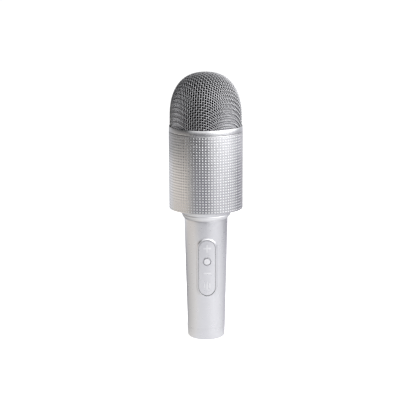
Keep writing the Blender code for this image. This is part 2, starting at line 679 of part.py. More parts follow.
def head_frame():
    """Rings above and below four posts, with the collar that the dome screws on to."""
    ring = [(CUP_RADIUS, FRAME_RING_TOP), (CUP_RADIUS, FRAME_RING_FOOT)]
    ring += [(DRIVER_OPENING_RADIUS, FRAME_RING_FOOT), (DRIVER_OPENING_RADIUS, FRAME_RING_TOP)]
    frame = turned("head_frame", ring, BLACK_PLASTIC, OUTER_SEGMENTS)
    foot = SHOULDER_TOP - FRAME_TOP_HEIGHT
    top = [(THREAD_RADIUS, THREAD_TOP), (THREAD_RADIUS, SHOULDER_TOP)]
    top += [(SHOULDER_RADIUS, SHOULDER_TOP), (SHOULDER_RADIUS, foot), (LEDGE_RADIUS, foot)]
    top += [(LEDGE_RADIUS, SHOULDER_TOP), (THREAD_INSIDE, SHOULDER_TOP), (THREAD_INSIDE, THREAD_TOP)]
    join(frame, turned("collar_form", top, None, OUTER_SEGMENTS))
    height = foot - FRAME_RING_TOP + 2 * MM
    for post in range(4):
        angle = math.radians(90 * post)
        middle = around(CUP_RADIUS - POST_DEPTH / 2 - 0.2 * MM, angle, FRAME_RING_TOP - 1 * MM + height / 2)
        form = box(f"post_form_{post}", (POST_DEPTH, POST_WIDTH, height), middle, None)
        form.rotation_euler.z = angle
        join(frame, form)
        corner = math.radians(45 + 90 * post)
        hole_foot = around(FRAME_SCREW_PITCH_RADIUS, corner, FRAME_RING_FOOT - CUTTER_START)
        hole = SCREW_RADIUS + SCREW_GAP
        cut(frame, rod(f"frame_hole_{post}", hole, 6 * MM, hole_foot, None, segments=12))
        driver_foot = around(DRIVER_SCREW_PITCH_RADIUS, angle, FRAME_RING_FOOT - CUTTER_START)
        driver_hole = DRIVER_SCREW_RADIUS + SCREW_GAP
        cut(frame, rod(f"seat_hole_{post}", driver_hole, 6 * MM, driver_foot, None, segments=12))
    lead_foot = around(FRAME_SCREW_PITCH_RADIUS, LEAD_ANGLE, FRAME_RING_FOOT - CUTTER_START)
    cut(frame, rod("lead_hole", LEAD_HOLE_RADIUS, 6 * MM, lead_foot, None, segments=12))
    for number in range(1, 5):
        angle = math.radians(45 + 90 * (number - 1))
        seat = around(FRAME_SCREW_PITCH_RADIUS, angle, FRAME_RING_TOP + FIT_GAP)
        screw(f"frame_screw_{number}", SCREW_RADIUS, SCREW_HEAD_RADIUS, FRAME_SCREW_LENGTH, seat)


# ---------------------------------------------------------------- loudspeaker


def loudspeaker():
    """The driver faces up from the frame's ring. Levels are measured down from its seat on that ring."""
    seat = FRAME_RING_TOP + FIT_GAP
    flange_top = seat + 1.2 * MM
    plate_top = seat - 15.1 * MM
    throat = DRIVER_OPENING_RADIUS - 0.6 * MM

    basket = [(DRIVER_FLANGE_RADIUS, flange_top), (DRIVER_FLANGE_RADIUS, seat), (throat, seat)]
    basket += [(throat - 0.8 * MM, seat - 3.3 * MM), (MAGNET_RADIUS, seat - 12.3 * MM)]
    basket += [(MAGNET_RADIUS, plate_top + FIT_GAP), (COIL_RADIUS + 1.4 * MM, plate_top + FIT_GAP)]
    basket += [(COIL_RADIUS + 1.4 * MM, plate_top + 1.5 * MM)]
    basket += [(MAGNET_RADIUS - 1 * MM, plate_top + 1.5 * MM), (MAGNET_RADIUS - 1 * MM, seat - 12 * MM)]
    basket += [(throat - 1.9 * MM, seat - 3 * MM), (throat - 1.1 * MM, flange_top)]
    frame = turned("driver_basket", basket, STEEL)
    for number in range(1, 5):
        angle = math.radians(90 * (number - 1))
        foot = around(DRIVER_SCREW_PITCH_RADIUS, angle, seat - CUTTER_START)
        hole = DRIVER_SCREW_RADIUS + SCREW_GAP
        cut(frame, rod(f"basket_hole_{number}", hole, 6 * MM, foot, None, segments=12))
        head = around(DRIVER_SCREW_PITCH_RADIUS, angle, flange_top + FIT_GAP)
        name = f"driver_screw_{number}"
        screw(name, DRIVER_SCREW_RADIUS, DRIVER_SCREW_HEAD_RADIUS, DRIVER_SCREW_LENGTH, head)

    plate_foot = plate_top - PLATE_HEIGHT
    plate_inside = COIL_RADIUS + COIL_GAP
    turned("top_plate", ring_outline(MAGNET_RADIUS - 0.5 * MM, plate_inside, plate_top, plate_foot), STEEL)
    magnet_top = plate_foot - FIT_GAP
    magnet_foot = magnet_top - MAGNET_HEIGHT
    magnet_inside = COIL_RADIUS + 1.5 * MM
    turned("magnet", ring_outline(MAGNET_RADIUS, magnet_inside, magnet_top, magnet_foot), FERRITE)
    yoke_top = magnet_foot - FIT_GAP
    pole = COIL_RADIUS - COIL_WALL - COIL_GAP
    yoke = [(0, plate_top), (pole, plate_top), (pole, yoke_top), (MAGNET_RADIUS - 0.5 * MM, yoke_top)]
    yoke += [(MAGNET_RADIUS - 0.5 * MM, yoke_top - 1.6 * MM), (0, yoke_top - 1.6 * MM)]
    turned("pole_yoke", yoke, STEEL, on_axis=True)

    coil_top = plate_top + 4.8 * MM
    coil_foot = yoke_top + 2 * MM
    coil_inside = COIL_RADIUS - COIL_WALL
    turned("voice_coil", ring_outline(COIL_RADIUS, coil_inside, coil_top, coil_foot), COPPER)
    cone_top = seat + 0.4 * MM
    neck = COIL_RADIUS + 0.4 * MM
    paper = 0.6 * MM
    neck_level = coil_top + 0.2 * MM
    cone = [(CONE_RADIUS, cone_top), (CONE_RADIUS, cone_top - paper), (neck, neck_level)]
    cone += [(neck, neck_level + paper)]
    turned("speaker_cone", cone, PAPER)
    cap = coil_top + 1.5 * MM
    dust = [(0, cap + 3.7 * MM), (6 * MM, cap + 2.7 * MM), (10.2 * MM, cap + 0.4 * MM)]
    dust += [(9.6 * MM, cap), (5.7 * MM, cap + 2.1 * MM), (0, cap + 3 * MM)]
    turned("dust_cap", dust, PAPER, on_axis=True)

    lip_top = flange_top + FIT_GAP + 0.5 * MM
    lip_outside = DRIVER_OPENING_RADIUS - 0.4 * MM
    roll_foot = cone_top + FIT_GAP
    roll, cloth = 1.25 * MM, 0.5 * MM
    roll_middle = (lip_outside - 2.3 * MM, roll_foot)
    under = math.degrees(math.asin((lip_top - cloth - roll_foot) / roll))
    over = math.degrees(math.asin((lip_top - roll_foot) / (roll + cloth)))
    surround = [(lip_outside, lip_top), (lip_outside, lip_top - cloth)]
    surround += arc(roll_middle, roll, under, 180, 3)
    surround += arc(roll_middle, roll + cloth, 180, over, 3)
    turned("cone_surround", surround, RUBBER)
    gasket = ring_outline(lip_outside, lip_outside - 0.7 * MM, lip_top + 1.1 * MM, lip_top + FIT_GAP)
    turned("driver_gasket", gasket, FOAM)
    spider_foot = plate_top + 2.1 * MM
    spider_outside = MAGNET_RADIUS - 1.3 * MM
    spider = ring_outline(spider_outside, COIL_RADIUS + FIT_GAP, spider_foot + 0.5 * MM, spider_foot)
    turned("spider", spider, SPIDER_CLOTH)


def ring_outline(outside, inside, top, foot):
    return [(outside, top), (outside, foot), (inside, foot), (inside, top)]


# ---------------------------------------------------------------- microphone capsule


def capsule():
    deck = ring_outline(DECK_RADIUS, CABLE_HOLE_RADIUS, DECK_TOP, DECK_FOOT)
    turned("capsule_deck", deck, BLACK_PLASTIC, OUTER_SEGMENTS)
    foot = DECK_TOP + FIT_GAP
    capsule_foot = DECK_TOP + CAPSULE_FOOT_ABOVE_DECK
    rubber_foot = capsule_foot + 3.5 * MM
    rubber_inside = CAPSULE_RADIUS + FIT_GAP
    rubber_outside = rubber_inside + RUBBER_WALL
    holder_inside = rubber_outside + FIT_GAP
    holder_outside = holder_inside + HOLDER_WALL
    holder_top = rubber_foot + 6.5 * MM
    ledge = rubber_foot - FIT_GAP
    ledge_inside = CAPSULE_RADIUS + 1.4 * MM
    holder = [(holder_outside, holder_top), (holder_outside, foot + 3.9 * MM)]
    holder += [(holder_outside + 2.5 * MM, foot), (ledge_inside, foot), (ledge_inside, ledge)]
    holder += [(holder_inside, ledge), (holder_inside, holder_top)]
    turned("capsule_holder", holder, BLACK_PLASTIC)
    rubber = ring_outline(rubber_outside, rubber_inside, rubber_foot + 6.2 * MM, rubber_foot)
    turned("shock_mount", rubber, RUBBER)
    rod("capsule_body", CAPSULE_RADIUS, CAPSULE_LENGTH, (0, 0, capsule_foot), BRASS, "z", INNER_SEGMENTS)
    cover_foot = capsule_foot + CAPSULE_LENGTH + FIT_GAP
    rod("capsule_cover", CAPSULE_RADIUS, 1.6 * MM, (0, 0, cover_foot), STEEL, "z", INNER_SEGMENTS)


# ---------------------------------------------------------------- dome


def dome_outline(radius, crown, foot, crown_foot, steps):
    """The dome's side and crown, from its top on the axis down to its foot."""
    power = 2 / DOME_SQUARENESS
    points = [(0, crown_foot + crown)]
    for step in range(1, steps + 1):
        turn = math.pi / 2 * (1 - step / steps)
        across, up = math.cos(turn) ** power, math.sin(turn) ** power
        points.append((radius * across, crown_foot + crown * up))
    return points + [(radius, foot)]


def dome_shell(name, radius, crown, wall, foot, finish, steps, segments):
    outer = dome_outline(radius, crown, foot, CROWN_FOOT, steps)
    inner = dome_outline(radius - wall, crown - wall, foot, CROWN_FOOT, steps)
    return turned(name, outer + inner[::-1], finish, segments, on_axis=True)


def dome():
    """The woven dome as a plain shell, its foam lining, and the ring that holds both on the collar."""
    dome_shell("grille_dome", DOME_RADIUS, DOME_CROWN, DOME_WALL, DOME_FOOT, WIRE, 8, OUTER_SEGMENTS)
    foam_radius = DOME_RADIUS - DOME_WALL - FOAM_GAP
    foam_crown = DOME_CROWN - DOME_WALL - FOAM_GAP
    foam_foot = THREAD_TOP + 0.4 * MM
    dome_shell("foam_liner", foam_radius, foam_crown, FOAM_THICKNESS, foam_foot, FOAM, 5, INNER_SEGMENTS)
    seat = RING_TOP - RING_LIP_HEIGHT
    lip_outside = HEAD_RADIUS - RING_TAPER
    lip_inside = lip_outside - RING_LIP_WALL
    ring = [(lip_outside, RING_TOP), (HEAD_RADIUS, RING_FOOT), (RING_INSIDE, RING_FOOT)]
    ring += [(RING_INSIDE, seat), (lip_inside, seat), (lip_inside, RING_TOP)]
    turned("grille_ring", ring, SATIN, OUTER_SEGMENTS)
    seal_foot = SHOULDER_TOP + FIT_GAP
    seal = ring_outline(SHOULDER_RADIUS, THREAD_RADIUS + FIT_GAP, seal_foot + SEAL_HEIGHT, seal_foot)
    turned("grille_seal", seal, RUBBER, OUTER_SEGMENTS)


# ---------------------------------------------------------------- leads


def smooth_route(points):
    """Points along a Catmull-Rom curve through the route's own points."""
    ends = [points[0] * 2 - points[1], *points, points[-1] * 2 - points[-2]]
    made = []
    for index in range(1, len(ends) - 2):
        before, start, end, after = ends[index - 1 : index + 3]
        for step in range(LEAD_STEPS):
            t = step / LEAD_STEPS
            made.append(
                0.5
                * (
                    2 * start
                    + (end - before) * t
                    + (2 * before - 5 * start + 4 * end - after) * t**2
                    + (3 * start - before - 3 * end + after) * t**3
                )
            )
    return made + [points[-1]]


def lead(name, route, radius, finish):
    curve = bpy.data.curves.new(name, "CURVE")
    curve.dimensions = "3D"
    curve.bevel_depth = radius
    curve.bevel_resolution = 0
    curve.use_fill_caps = True
    line = curve.splines.new("POLY")
    points = smooth_route(route)
    line.points.add(len(points) - 1)
    for target, point in zip(line.points, points):
        target.co = (*point, 1)
    curve.materials.append(finish)
    made = bpy.data.objects.new(name, curve)
    MICROPHONE.objects.link(made)


def leads():
    """Wires from the top of the board, up the neck, to the loudspeaker and to the capsule."""
    start_y = BOARD_BACK_Y + MICROPHONE_LEAD_RADIUS + FIT_GAP
    start_z = CRADLE_TOP + 2 * MM
    over_floor = CUP_FLOOR_TOP + 1.5 * MM
    beside = FRAME_SCREW_PITCH_RADIUS
    capsule_foot = DECK_TOP + CAPSULE_FOOT_ABOVE_DECK
    up = [Vector((3 * MM, start_y, start_z)), Vector((3.4 * MM, start_y + 3 * MM, start_z + 5 * MM))]
    up += [Vector((4.6 * MM, 5 * MM, NECK_TOP - 4 * MM))]
    up += [
        around(12.5 * MM, LEAD_ANGLE, over_floor - 1.4 * MM),
        around(18 * MM, LEAD_ANGLE, over_floor + 0.2 * MM),
        around(23 * MM, LEAD_ANGLE, over_floor + 0.8 * MM),
        around(27.6 * MM, LEAD_ANGLE, over_floor + 4.5 * MM),
        around(beside - 0.3 * MM, LEAD_ANGLE, CUP_TOP - 9 * MM),
        around(beside, LEAD_ANGLE, FRAME_RING_TOP),
        around(beside - 0.3 * MM, LEAD_ANGLE, FRAME_RING_TOP + 6 * MM),
        around(21 * MM, LEAD_ANGLE, DECK_FOOT - 20 * MM),
        around(5 * MM, LEAD_ANGLE, DECK_FOOT - 7 * MM),
        Vector((0, 0, DECK_FOOT - 0.5 * MM)),
        Vector((0, 0, capsule_foot - FIT_GAP)),
    ]
    lead("microphone_lead", up, MICROPHONE_LEAD_RADIUS, BLACK_PLASTIC)
    for name, across, turn, finish in (
        ("speaker_lead_red", -2.2 * MM, 216, RED_PLASTIC),
        ("speaker_lead_black", -5.2 * MM, 232, BLACK_PLASTIC),
    ):
        angle = math.radians(turn)
        down = [
            Vector((across, start_y, start_z)),
            Vector((across, start_y + 2 * MM, start_z + 6 * MM)),
            Vector((across * 1.3, start_y, NECK_TOP - 4 * MM)),
            around(12.5 * MM, angle, over_floor - 1.4 * MM),
            around(18 * MM, angle, over_floor + 0.2 * MM),
            around(22.5 * MM, angle, over_floor + 3.5 * MM),
            around(22 * MM, angle, over_floor + 9 * MM),
            around(20.4 * MM, angle, FRAME_RING_FOOT - 5.5 * MM),
        ]
        lead(name, down, SPEAKER_LEAD_RADIUS, finish)


clear_scene()
MICROPHONE = collection("karaoke_microphone")
TOOLS = collection("cutters_and_forms")

PAINTED = material("silver_paint", (0.62, 0.62, 0.64), 0.35, 0.7)
SATIN = material("satin_silver", (0.60, 0.60, 0.61), 0.3, 0.9)
KEY_FINISH = material("key_silver", (0.66, 0.66, 0.68), 0.35, 0.6)
PEARL = material("pearl_plastic", (0.78, 0.78, 0.80), 0.3, 0.1)
WIRE = material("steel_wire", (0.55, 0.55, 0.54), 0.3, 1.0)
STEEL = material("plated_steel", (0.5, 0.5, 0.5), 0.4, 1.0)
ZINC = material("zinc_screw", (0.45, 0.45, 0.46), 0.35, 1.0)
BRASS = material("capsule_metal", (0.55, 0.47, 0.3), 0.4, 1.0)
COPPER = material("copper_coil", (0.6, 0.3, 0.15), 0.4, 1.0)
FERRITE = material("ferrite", (0.05, 0.05, 0.055), 0.6)
BLACK_PLASTIC = material("black_plastic", (0.03, 0.03, 0.03), 0.5)
RED_PLASTIC = material("red_insulation", (0.5, 0.03, 0.03), 0.5)
RUBBER = material("black_rubber", (0.02, 0.02, 0.02), 0.8)
FOAM = material("black_foam", (0.015, 0.015, 0.015), 0.95)
CLOTH = material("grey_cloth", (0.3, 0.3, 0.3), 0.9)
SPIDER_CLOTH = material("spider_cloth", (0.5, 0.3, 0.1), 0.9)
PAPER = material("cone_paper", (0.04, 0.04, 0.04), 0.8)
BOARD_GREEN = material("board_green", (0.02, 0.15, 0.05), 0.5)
BATTERY_WRAP = material("battery_wrap", (0.03, 0.12, 0.4), 0.4)

handle_shell()
end_cap()
end_cap_screws()
keypad()
keys()
switches()
board()
sockets()
battery()
neck_ring()
speaker_cup()
sleeve()
head_frame()
loudspeaker()
capsule()
dome()
leads()
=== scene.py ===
"""The looks of a karaoke microphone: its woven grille, perforated sleeve, lacquered handle and keys.

Lengths are in metres. The microphone stands on its foot with +Z up, and its keys face -Y.
"""

import json
import math

import bmesh
import bpy
import numpy as np
from mathutils import Matrix, Vector


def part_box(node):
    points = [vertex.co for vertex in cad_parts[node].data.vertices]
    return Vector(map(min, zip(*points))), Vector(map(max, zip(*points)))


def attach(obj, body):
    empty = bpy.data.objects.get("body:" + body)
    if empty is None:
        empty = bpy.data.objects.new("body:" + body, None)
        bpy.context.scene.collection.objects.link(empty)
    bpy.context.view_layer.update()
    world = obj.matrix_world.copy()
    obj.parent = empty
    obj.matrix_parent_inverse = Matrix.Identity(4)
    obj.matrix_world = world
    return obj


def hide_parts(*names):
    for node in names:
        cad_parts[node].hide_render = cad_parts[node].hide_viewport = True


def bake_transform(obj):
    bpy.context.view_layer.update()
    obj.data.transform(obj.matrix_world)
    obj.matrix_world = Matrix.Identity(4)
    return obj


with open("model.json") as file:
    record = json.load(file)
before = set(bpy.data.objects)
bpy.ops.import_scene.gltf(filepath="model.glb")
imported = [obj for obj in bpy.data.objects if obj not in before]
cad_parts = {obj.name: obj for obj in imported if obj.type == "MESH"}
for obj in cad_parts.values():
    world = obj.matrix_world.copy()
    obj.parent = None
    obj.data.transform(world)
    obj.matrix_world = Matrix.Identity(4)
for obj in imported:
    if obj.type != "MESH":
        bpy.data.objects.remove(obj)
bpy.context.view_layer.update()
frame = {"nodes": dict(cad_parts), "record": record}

MM = 0.001

# Handle
TOP_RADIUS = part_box("handle_shell")[1].x
HANDLE_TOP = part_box("handle_shell")[1].z
CAP_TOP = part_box("end_cap_screw_1")[0].z + 10.1 * MM
CAP_RADIUS = 17.72 * MM
FOOT_CORNER = 2.6 * MM
HANDLE_WALL = 1.8 * MM
SEAM = 0.05 * MM
ROUND_SEGMENTS = 192

# Keypad
FACE_OFFSET = 5.0 * MM  # how far behind the handle's axis the flatter keypad face is centred
SURROUND_PROUD = 0.4 * MM
KEYPAD_PROUD = 0.35 * MM
GLYPH_PROUD = 0.75 * MM
KEY_GAP = 0.3 * MM
WINDOW_DROP = 0.35 * MM  # how much wider the gap is under the keypad than over it
GLYPH_GAP = 0.06 * MM
POWER_GAP = 1.05 * MM
PLATE_ROUNDING = 0.6 * MM
SURROUND_CREST = 1.0 * MM
SURROUND_REACH = 2.3 * MM
GLYPH_SIZE = 7.5 * MM
GLYPH_STROKE = 1.25 * MM
POWER_KEY_RADIUS = 2.9 * MM

# Head
HEAD_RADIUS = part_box("speaker_sleeve")[1].x
SLEEVE_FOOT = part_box("speaker_sleeve")[0].z
SLEEVE_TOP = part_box("speaker_sleeve")[1].z
SLEEVE_CORNER = 2.8 * MM
SHEET = 0.3 * MM
HOLE_COLUMNS = 78
HOLE_ROWS = 28
HOLE_RADIUS = 0.65 * MM
FIRST_HOLE_ROW = 1.8 * MM
HOLE_PITCH = 2.545 * MM

# Grille
RING_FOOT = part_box("grille_ring")[0].z
RING_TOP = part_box("grille_ring")[1].z
GRILLE_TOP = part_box("grille_dome")[1].z
GRILLE_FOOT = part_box("grille_dome")[0].z
WIRE_RADIUS = 0.27 * MM
WIRE_PITCH = 2.3 * MM
WEAVE_RADIUS = 33.15 * MM  # to the middle of the weave
CROWN_FOOT = GRILLE_FOOT + 8.4 * MM
CROWN_SQUARENESS = 2.42
WEAVE_TURN = math.radians(-13.5)


# ---------------------------------------------------------------- meshes


def piece(name, data, body, slot, *nodes):
    """Puts a mesh or curve in the scene, riding on a body and standing for the CAD nodes given."""
    made = bpy.data.objects.new(name, data)
    bpy.context.scene.collection.objects.link(made)
    data.materials.clear()
    data.materials.append(FINISHES[slot])
    if body:
        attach(made, body)
    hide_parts(*nodes)
    return made


def mesh_from(name, points, faces, sharp=35, weld=0.000001):
    """A smooth-shaded mesh with its faces turned outwards and its doubled points welded."""
    mesh = bpy.data.meshes.new(name)
    mesh.from_pydata([tuple(point) for point in points], [], [tuple(face) for face in faces])
    shape = bmesh.new()
    shape.from_mesh(mesh)
    bmesh.ops.remove_doubles(shape, verts=shape.verts, dist=weld)
    bmesh.ops.recalc_face_normals(shape, faces=shape.faces)
    shape.to_mesh(mesh)
    shape.free()
    mesh.shade_smooth()
    mesh.set_sharp_from_angle(angle=math.radians(sharp))
    return mesh


def quads(rows, columns, first=0, wrap_rows=False):
    """Faces between neighbouring points of rings that are numbered one after another."""
    made = []
    for row in range(rows if wrap_rows else rows - 1):
        here, below = first + row * columns, first + (row + 1) % rows * columns
        for column in range(columns):
            right = (column + 1) % columns
            made.append((here + column, here + right, below + right, below + column))
    return made


def softened(corners, closed=True, steps=5):
    """An outline whose corners are rounded. Each corner is (radius, height, rounding)."""
    made = []
    for index, (x, y, rounding) in enumerate(corners):
        corner = np.array((x, y))
        if rounding == 0 or (not closed and index in (0, len(corners) - 1)):
            made.append(corner)
            continue
        before = np.array(corners[index - 1][:2]) - corner
        after = np.array(corners[(index + 1) % len(corners)][:2]) - corner
        room = 0.49 * min(np.linalg.norm(before), np.linalg.norm(after))
        before /= np.linalg.norm(before)
        after /= np.linalg.norm(after)
        half = math.acos(np.clip(before @ after, -1, 1)) / 2
        reach = min(rounding / math.tan(half), room)
        centre = corner + (before + after) / np.linalg.norm(before + after) * reach / math.cos(half)
        start, end = corner + before * reach - centre, corner + after * reach - centre
        sweep = math.pi - 2 * half
        for share in np.linspace(0, 1, steps + 1):
            first = math.sin((1 - share) * sweep) / math.sin(sweep)
            second = math.sin(share * sweep) / math.sin(sweep)
            made.append(centre + start * first + end * second)
    return np.array(made)


def turned(name, outline, segments=ROUND_SEGMENTS, closed=True):
    """A turned mesh from an outline of (radius, height) points."""
    turns = np.arange(segments) * 2 * math.pi / segments
    points = [
        (radius * math.sin(turn), -radius * math.cos(turn), height)
        for radius, height in outline
        for turn in turns
    ]
    faces = quads(len(outline), segments, wrap_rows=closed)
    return mesh_from(name, points, faces)


def flat_shape(name, outline, thickness, middle, upright=True):
    """A flat outline with a thickness, as an object to cut with. Upright, it is pushed along Y."""
    curve = bpy.data.curves.new(name, "CURVE")
    curve.dimensions = "2D"
    curve.fill_mode = "BOTH"
    curve.extrude = thickness / 2
    line = curve.splines.new("POLY")
    line.points.add(len(outline) - 1)
    for point, (across, up) in zip(line.points, outline):
        point.co = (across, up, 0, 1)
    line.use_cyclic_u = True
    guide = bpy.data.objects.new(name, curve)
    guide.rotation_euler = (math.pi / 2, 0, 0) if upright else (0, 0, 0)
    guide.location = middle
    bpy.context.scene.collection.objects.link(guide)
    bpy.context.view_layer.update()
    mesh = bpy.data.meshes.new_from_object(guide.evaluated_get(bpy.context.evaluated_depsgraph_get()))
    mesh.transform(guide.matrix_world)
    bpy.data.objects.remove(guide)
    shape = bmesh.new()
    shape.from_mesh(mesh)
    bmesh.ops.remove_doubles(shape, verts=shape.verts, dist=0.000005)
    bmesh.ops.recalc_face_normals(shape, faces=shape.faces)
    shape.to_mesh(mesh)
    shape.free()
    return mesh


def carved(name, mesh, steps, bevel, segments=2):
    """A mesh after Boolean steps of (operation, mesh), with its edges softened by a bevel."""
    edge_angle = math.radians(40)
    made = bpy.data.objects.new(name, mesh)
    mesh.shade_smooth()
    bpy.context.scene.collection.objects.link(made)
    helpers = []
    for operation, tool_mesh in steps:
        tool_mesh.shade_smooth()
        tool = bpy.data.objects.new(name + "_tool", tool_mesh)
        bpy.context.scene.collection.objects.link(tool)
        helpers.append(tool)
        change = made.modifiers.new(operation.lower(), "BOOLEAN")
        change.operation = operation
        change.object = tool
    soften = made.modifiers.new("soften", "BEVEL")
    soften.width = bevel
    soften.segments = segments
    soften.limit_method = "ANGLE"
    soften.angle_limit = edge_angle
    bpy.context.view_layer.update()
    result = bpy.data.meshes.new_from_object(made.evaluated_get(bpy.context.evaluated_depsgraph_get()))
    for helper in (*helpers, made):
        bpy.data.objects.remove(helper)
    result.name = name
    result.set_sharp_from_angle(angle=edge_angle)
    return result


def stadium(width, length, count=96):
    """Points round an upright slot with round ends, evenly spaced from its top, clockwise from outside."""
    end, straight = width / 2, length / 2 - width / 2
    whole = 2 * math.pi * end + 4 * straight
    made = []
    for index in range(count):
        along = (index / count * whole + math.pi * end / 2 + 2 * straight) % whole
        if along < 2 * straight:
            made.append((-end, -straight + along))
        elif along < 2 * straight + math.pi * end:
            turn = math.pi - (along - 2 * straight) / end
            made.append((end * math.cos(turn), straight + end * math.sin(turn)))
        elif along < 4 * straight + math.pi * end:
            made.append((end, straight - (along - 2 * straight - math.pi * end)))
        else:
            turn = -(along - 4 * straight - math.pi * end) / end
            made.append((end * math.cos(turn), -straight + end * math.sin(turn)))
    return made


def handle_radius(height):
    return CAP_RADIUS + (TOP_RADIUS - CAP_RADIUS) * (height - CAP_TOP) / (HANDLE_TOP - CAP_TOP)


# ---------------------------------------------------------------- finishes


def linear(code):
    """An sRGB hex colour as linear light, with an alpha of 1."""
    channels = [int(code[start : start + 2], 16) / 255 for start in (1, 3, 5)]
    return (*[c / 12.92 if c <= 0.04045 else ((c + 0.055) / 1.055) ** 2.4 for c in channels], 1.0)


def add(tree, kind, inputs=None, **settings):
    """Adds a shader node. An input given as another node's socket is linked, and any other is set."""
    made = tree.nodes.new("ShaderNode" + kind)
    for name, value in settings.items():
        setattr(made, name, value)
    for name, value in (inputs or {}).items():
        if isinstance(value, bpy.types.NodeSocket):
            tree.links.new(value, made.inputs[name])
        else:
            made.inputs[name].default_value = value
    return made


def finish(name, **sockets):
    """A new material and its tree, shader and place on the object, with the shader's sockets set."""
    made = bpy.data.materials.new(name)
    made.use_nodes = True
    tree = made.node_tree
    shader = tree.nodes["Principled BSDF"]
    for socket, value in sockets.items():
        shader.inputs[socket.replace("_", " ")].default_value = value
    where = add(tree, "TexCoord").outputs["Object"]
    return made, tree, shader, where


def patterned(tree, shader, tint, gloss=None, relief=None):
    """Spreads patterns over a shader.

    The tint is (pattern, dark, light), the gloss is (pattern, lowest roughness, highest roughness) and
    the relief is (pattern, depth).
    """
    pattern, dark, light = tint
    mixed = add(tree, "Mix", {"Factor": pattern, 6: linear(dark), 7: linear(light)}, data_type="RGBA")
    tree.links.new(mixed.outputs[2], shader.inputs["Base Color"])
    if gloss:
        pattern, low, high = gloss
        span = {"Value": pattern, "From Min": 0.3, "From Max": 0.7, "To Min": low, "To Max": high}
        spread = add(tree, "MapRange", span)
        tree.links.new(spread.outputs["Result"], shader.inputs["Roughness"])
    if relief:
        pattern, depth = relief
        raised = add(tree, "Bump", {"Height": pattern, "Distance": depth, "Strength": 1.0})
        tree.links.new(raised.outputs["Normal"], shader.inputs["Normal"])


def metallic_lacquer(name, light, dark, roughness, metallic=0.9, coat=0.15):
    """Sprayed aluminium-flake lacquer: a soft silver sheen, a fine sparkle and a faint orange peel."""
    made, tree, shader, where = finish(name, Metallic=metallic, Coat_Weight=coat, Coat_Roughness=0.12)
    flake = 1.5 * MM  # real flakes are 0.03 mm: these are drawn coarser
    flakes = add(tree, "TexNoise", {"Vector": where, "Scale": 1 / flake}).outputs["Fac"]
    clouds = add(tree, "TexNoise", {"Vector": where, "Scale": 1 / (3 * MM)}).outputs["Fac"]
    peel = add(tree, "TexNoise", {"Vector": where, "Scale": 1 / (2.5 * MM)}).outputs["Fac"]
    gloss = (clouds, roughness - 0.03, roughness + 0.04)
    patterned(tree, shader, (flakes, dark, light), gloss, (peel, 0.004 * MM))
    return made


def stainless_wire():
    """Drawn stainless wire: bright, with fine lengthwise streaks in a neutral grey."""
    made, tree, shader, where = finish("drawn_stainless_wire", Metallic=1.0)
    streaks = add(tree, "TexNoise", {"Vector": where, "Scale": 1 / (0.5 * MM)}).outputs["Fac"]
    clouds = add(tree, "TexNoise", {"Vector": where, "Scale": 1 / (2 * MM)}).outputs["Fac"]
    patterned(tree, shader, (streaks, "#AAAAAD", "#C0C0C3"), (clouds, 0.14, 0.22))
    return made


def open_cell_foam():
    """Black open-cell polyurethane foam: matt, with round cells of 0.7 mm, each darker towards its middle as
    painted shade in its hollow, and a near-black tone that is partly painted shade for the dark inside of
    the dome.
    """
    made, tree, shader, where = finish("open_cell_foam", Roughness=1.0, IOR=1.2)
    cells_and_shade = add(tree, "TexVoronoi", {"Vector": where, "Scale": 1 / (0.7 * MM)}).outputs["Distance"]
    # Painted shade: the tones are darker than the foam itself, and each cell darkens towards its middle.
    patterned(tree, shader, (cells_and_shade, "#020202", "#0B0B0B"), relief=(cells_and_shade, 0.2 * MM))
    return made


def woven_cloth(name, light, dark, thread):
    """Plain-woven thread: matt, over and under, with a little shade in the gaps."""
    made, tree, shader, where = finish(name, Roughness=1.0, IOR=1.2)
    bands = {"Vector": where, "Scale": 0.5 / thread, "Distortion": 0.2}
    up = add(tree, "TexWave", bands, bands_direction="Z").outputs["Fac"]
    across = add(tree, "TexWave", bands, bands_direction="X").outputs["Fac"]
    weave = add(tree, "Math", {0: up, 1: across}, operation="MULTIPLY").outputs["Value"]
    patterned(tree, shader, (weave, dark, light), relief=(weave, 0.05 * MM))
    return made


def moulded_plastic(name, light, dark, roughness=0.5, grain=0.6 * MM):
    """Injection-moulded ABS with a fine spark-eroded grain, duller in its hollows."""
    made, tree, shader, where = finish(name, IOR=1.53)
    spots = add(tree, "TexNoise", {"Vector": where, "Scale": 1 / grain}).outputs["Fac"]
    clouds = add(tree, "TexNoise", {"Vector": where, "Scale": 1 / (4 * MM)}).outputs["Fac"]
    gloss = (clouds, roughness - 0.05, roughness + 0.08)
    patterned(tree, shader, (spots, dark, light), gloss, (spots, 0.01 * MM))
    return made


def plated_metal(name, light, dark, roughness):
    """Plated or rolled metal: even colour with cloudy changes of gloss and faint rolling marks."""
    made, tree, shader, where = finish(name, Metallic=1.0)
    tarnish = add(tree, "TexNoise", {"Vector": where, "Scale": 1 / (5 * MM)}).outputs["Fac"]
    clouds = add(tree, "TexNoise", {"Vector": where, "Scale": 1 / (1.5 * MM)}).outputs["Fac"]
    marks = add(tree, "TexNoise", {"Vector": where, "Scale": 1 / (0.3 * MM)}).outputs["Fac"]
    gloss = (clouds, roughness - 0.06, roughness + 0.08)
    patterned(tree, shader, (tarnish, dark, light), gloss, (marks, 0.002 * MM))
    return made


def moulded_rubber(name, light="#1B1B1B", dark="#101010"):
    """Moulded black rubber: matt, with a faint bloom."""
    made, tree, shader, where = finish(name, IOR=1.52)
    bloom = add(tree, "TexNoise", {"Vector": where, "Scale": 1 / (2 * MM)}).outputs["Fac"]
    clouds = add(tree, "TexNoise", {"Vector": where, "Scale": 1 / (1 * MM)}).outputs["Fac"]
    grain = add(tree, "TexNoise", {"Vector": where, "Scale": 1 / (0.4 * MM)}).outputs["Fac"]
    patterned(tree, shader, (bloom, dark, light), (clouds, 0.65, 0.85), (grain, 0.01 * MM))
    return made


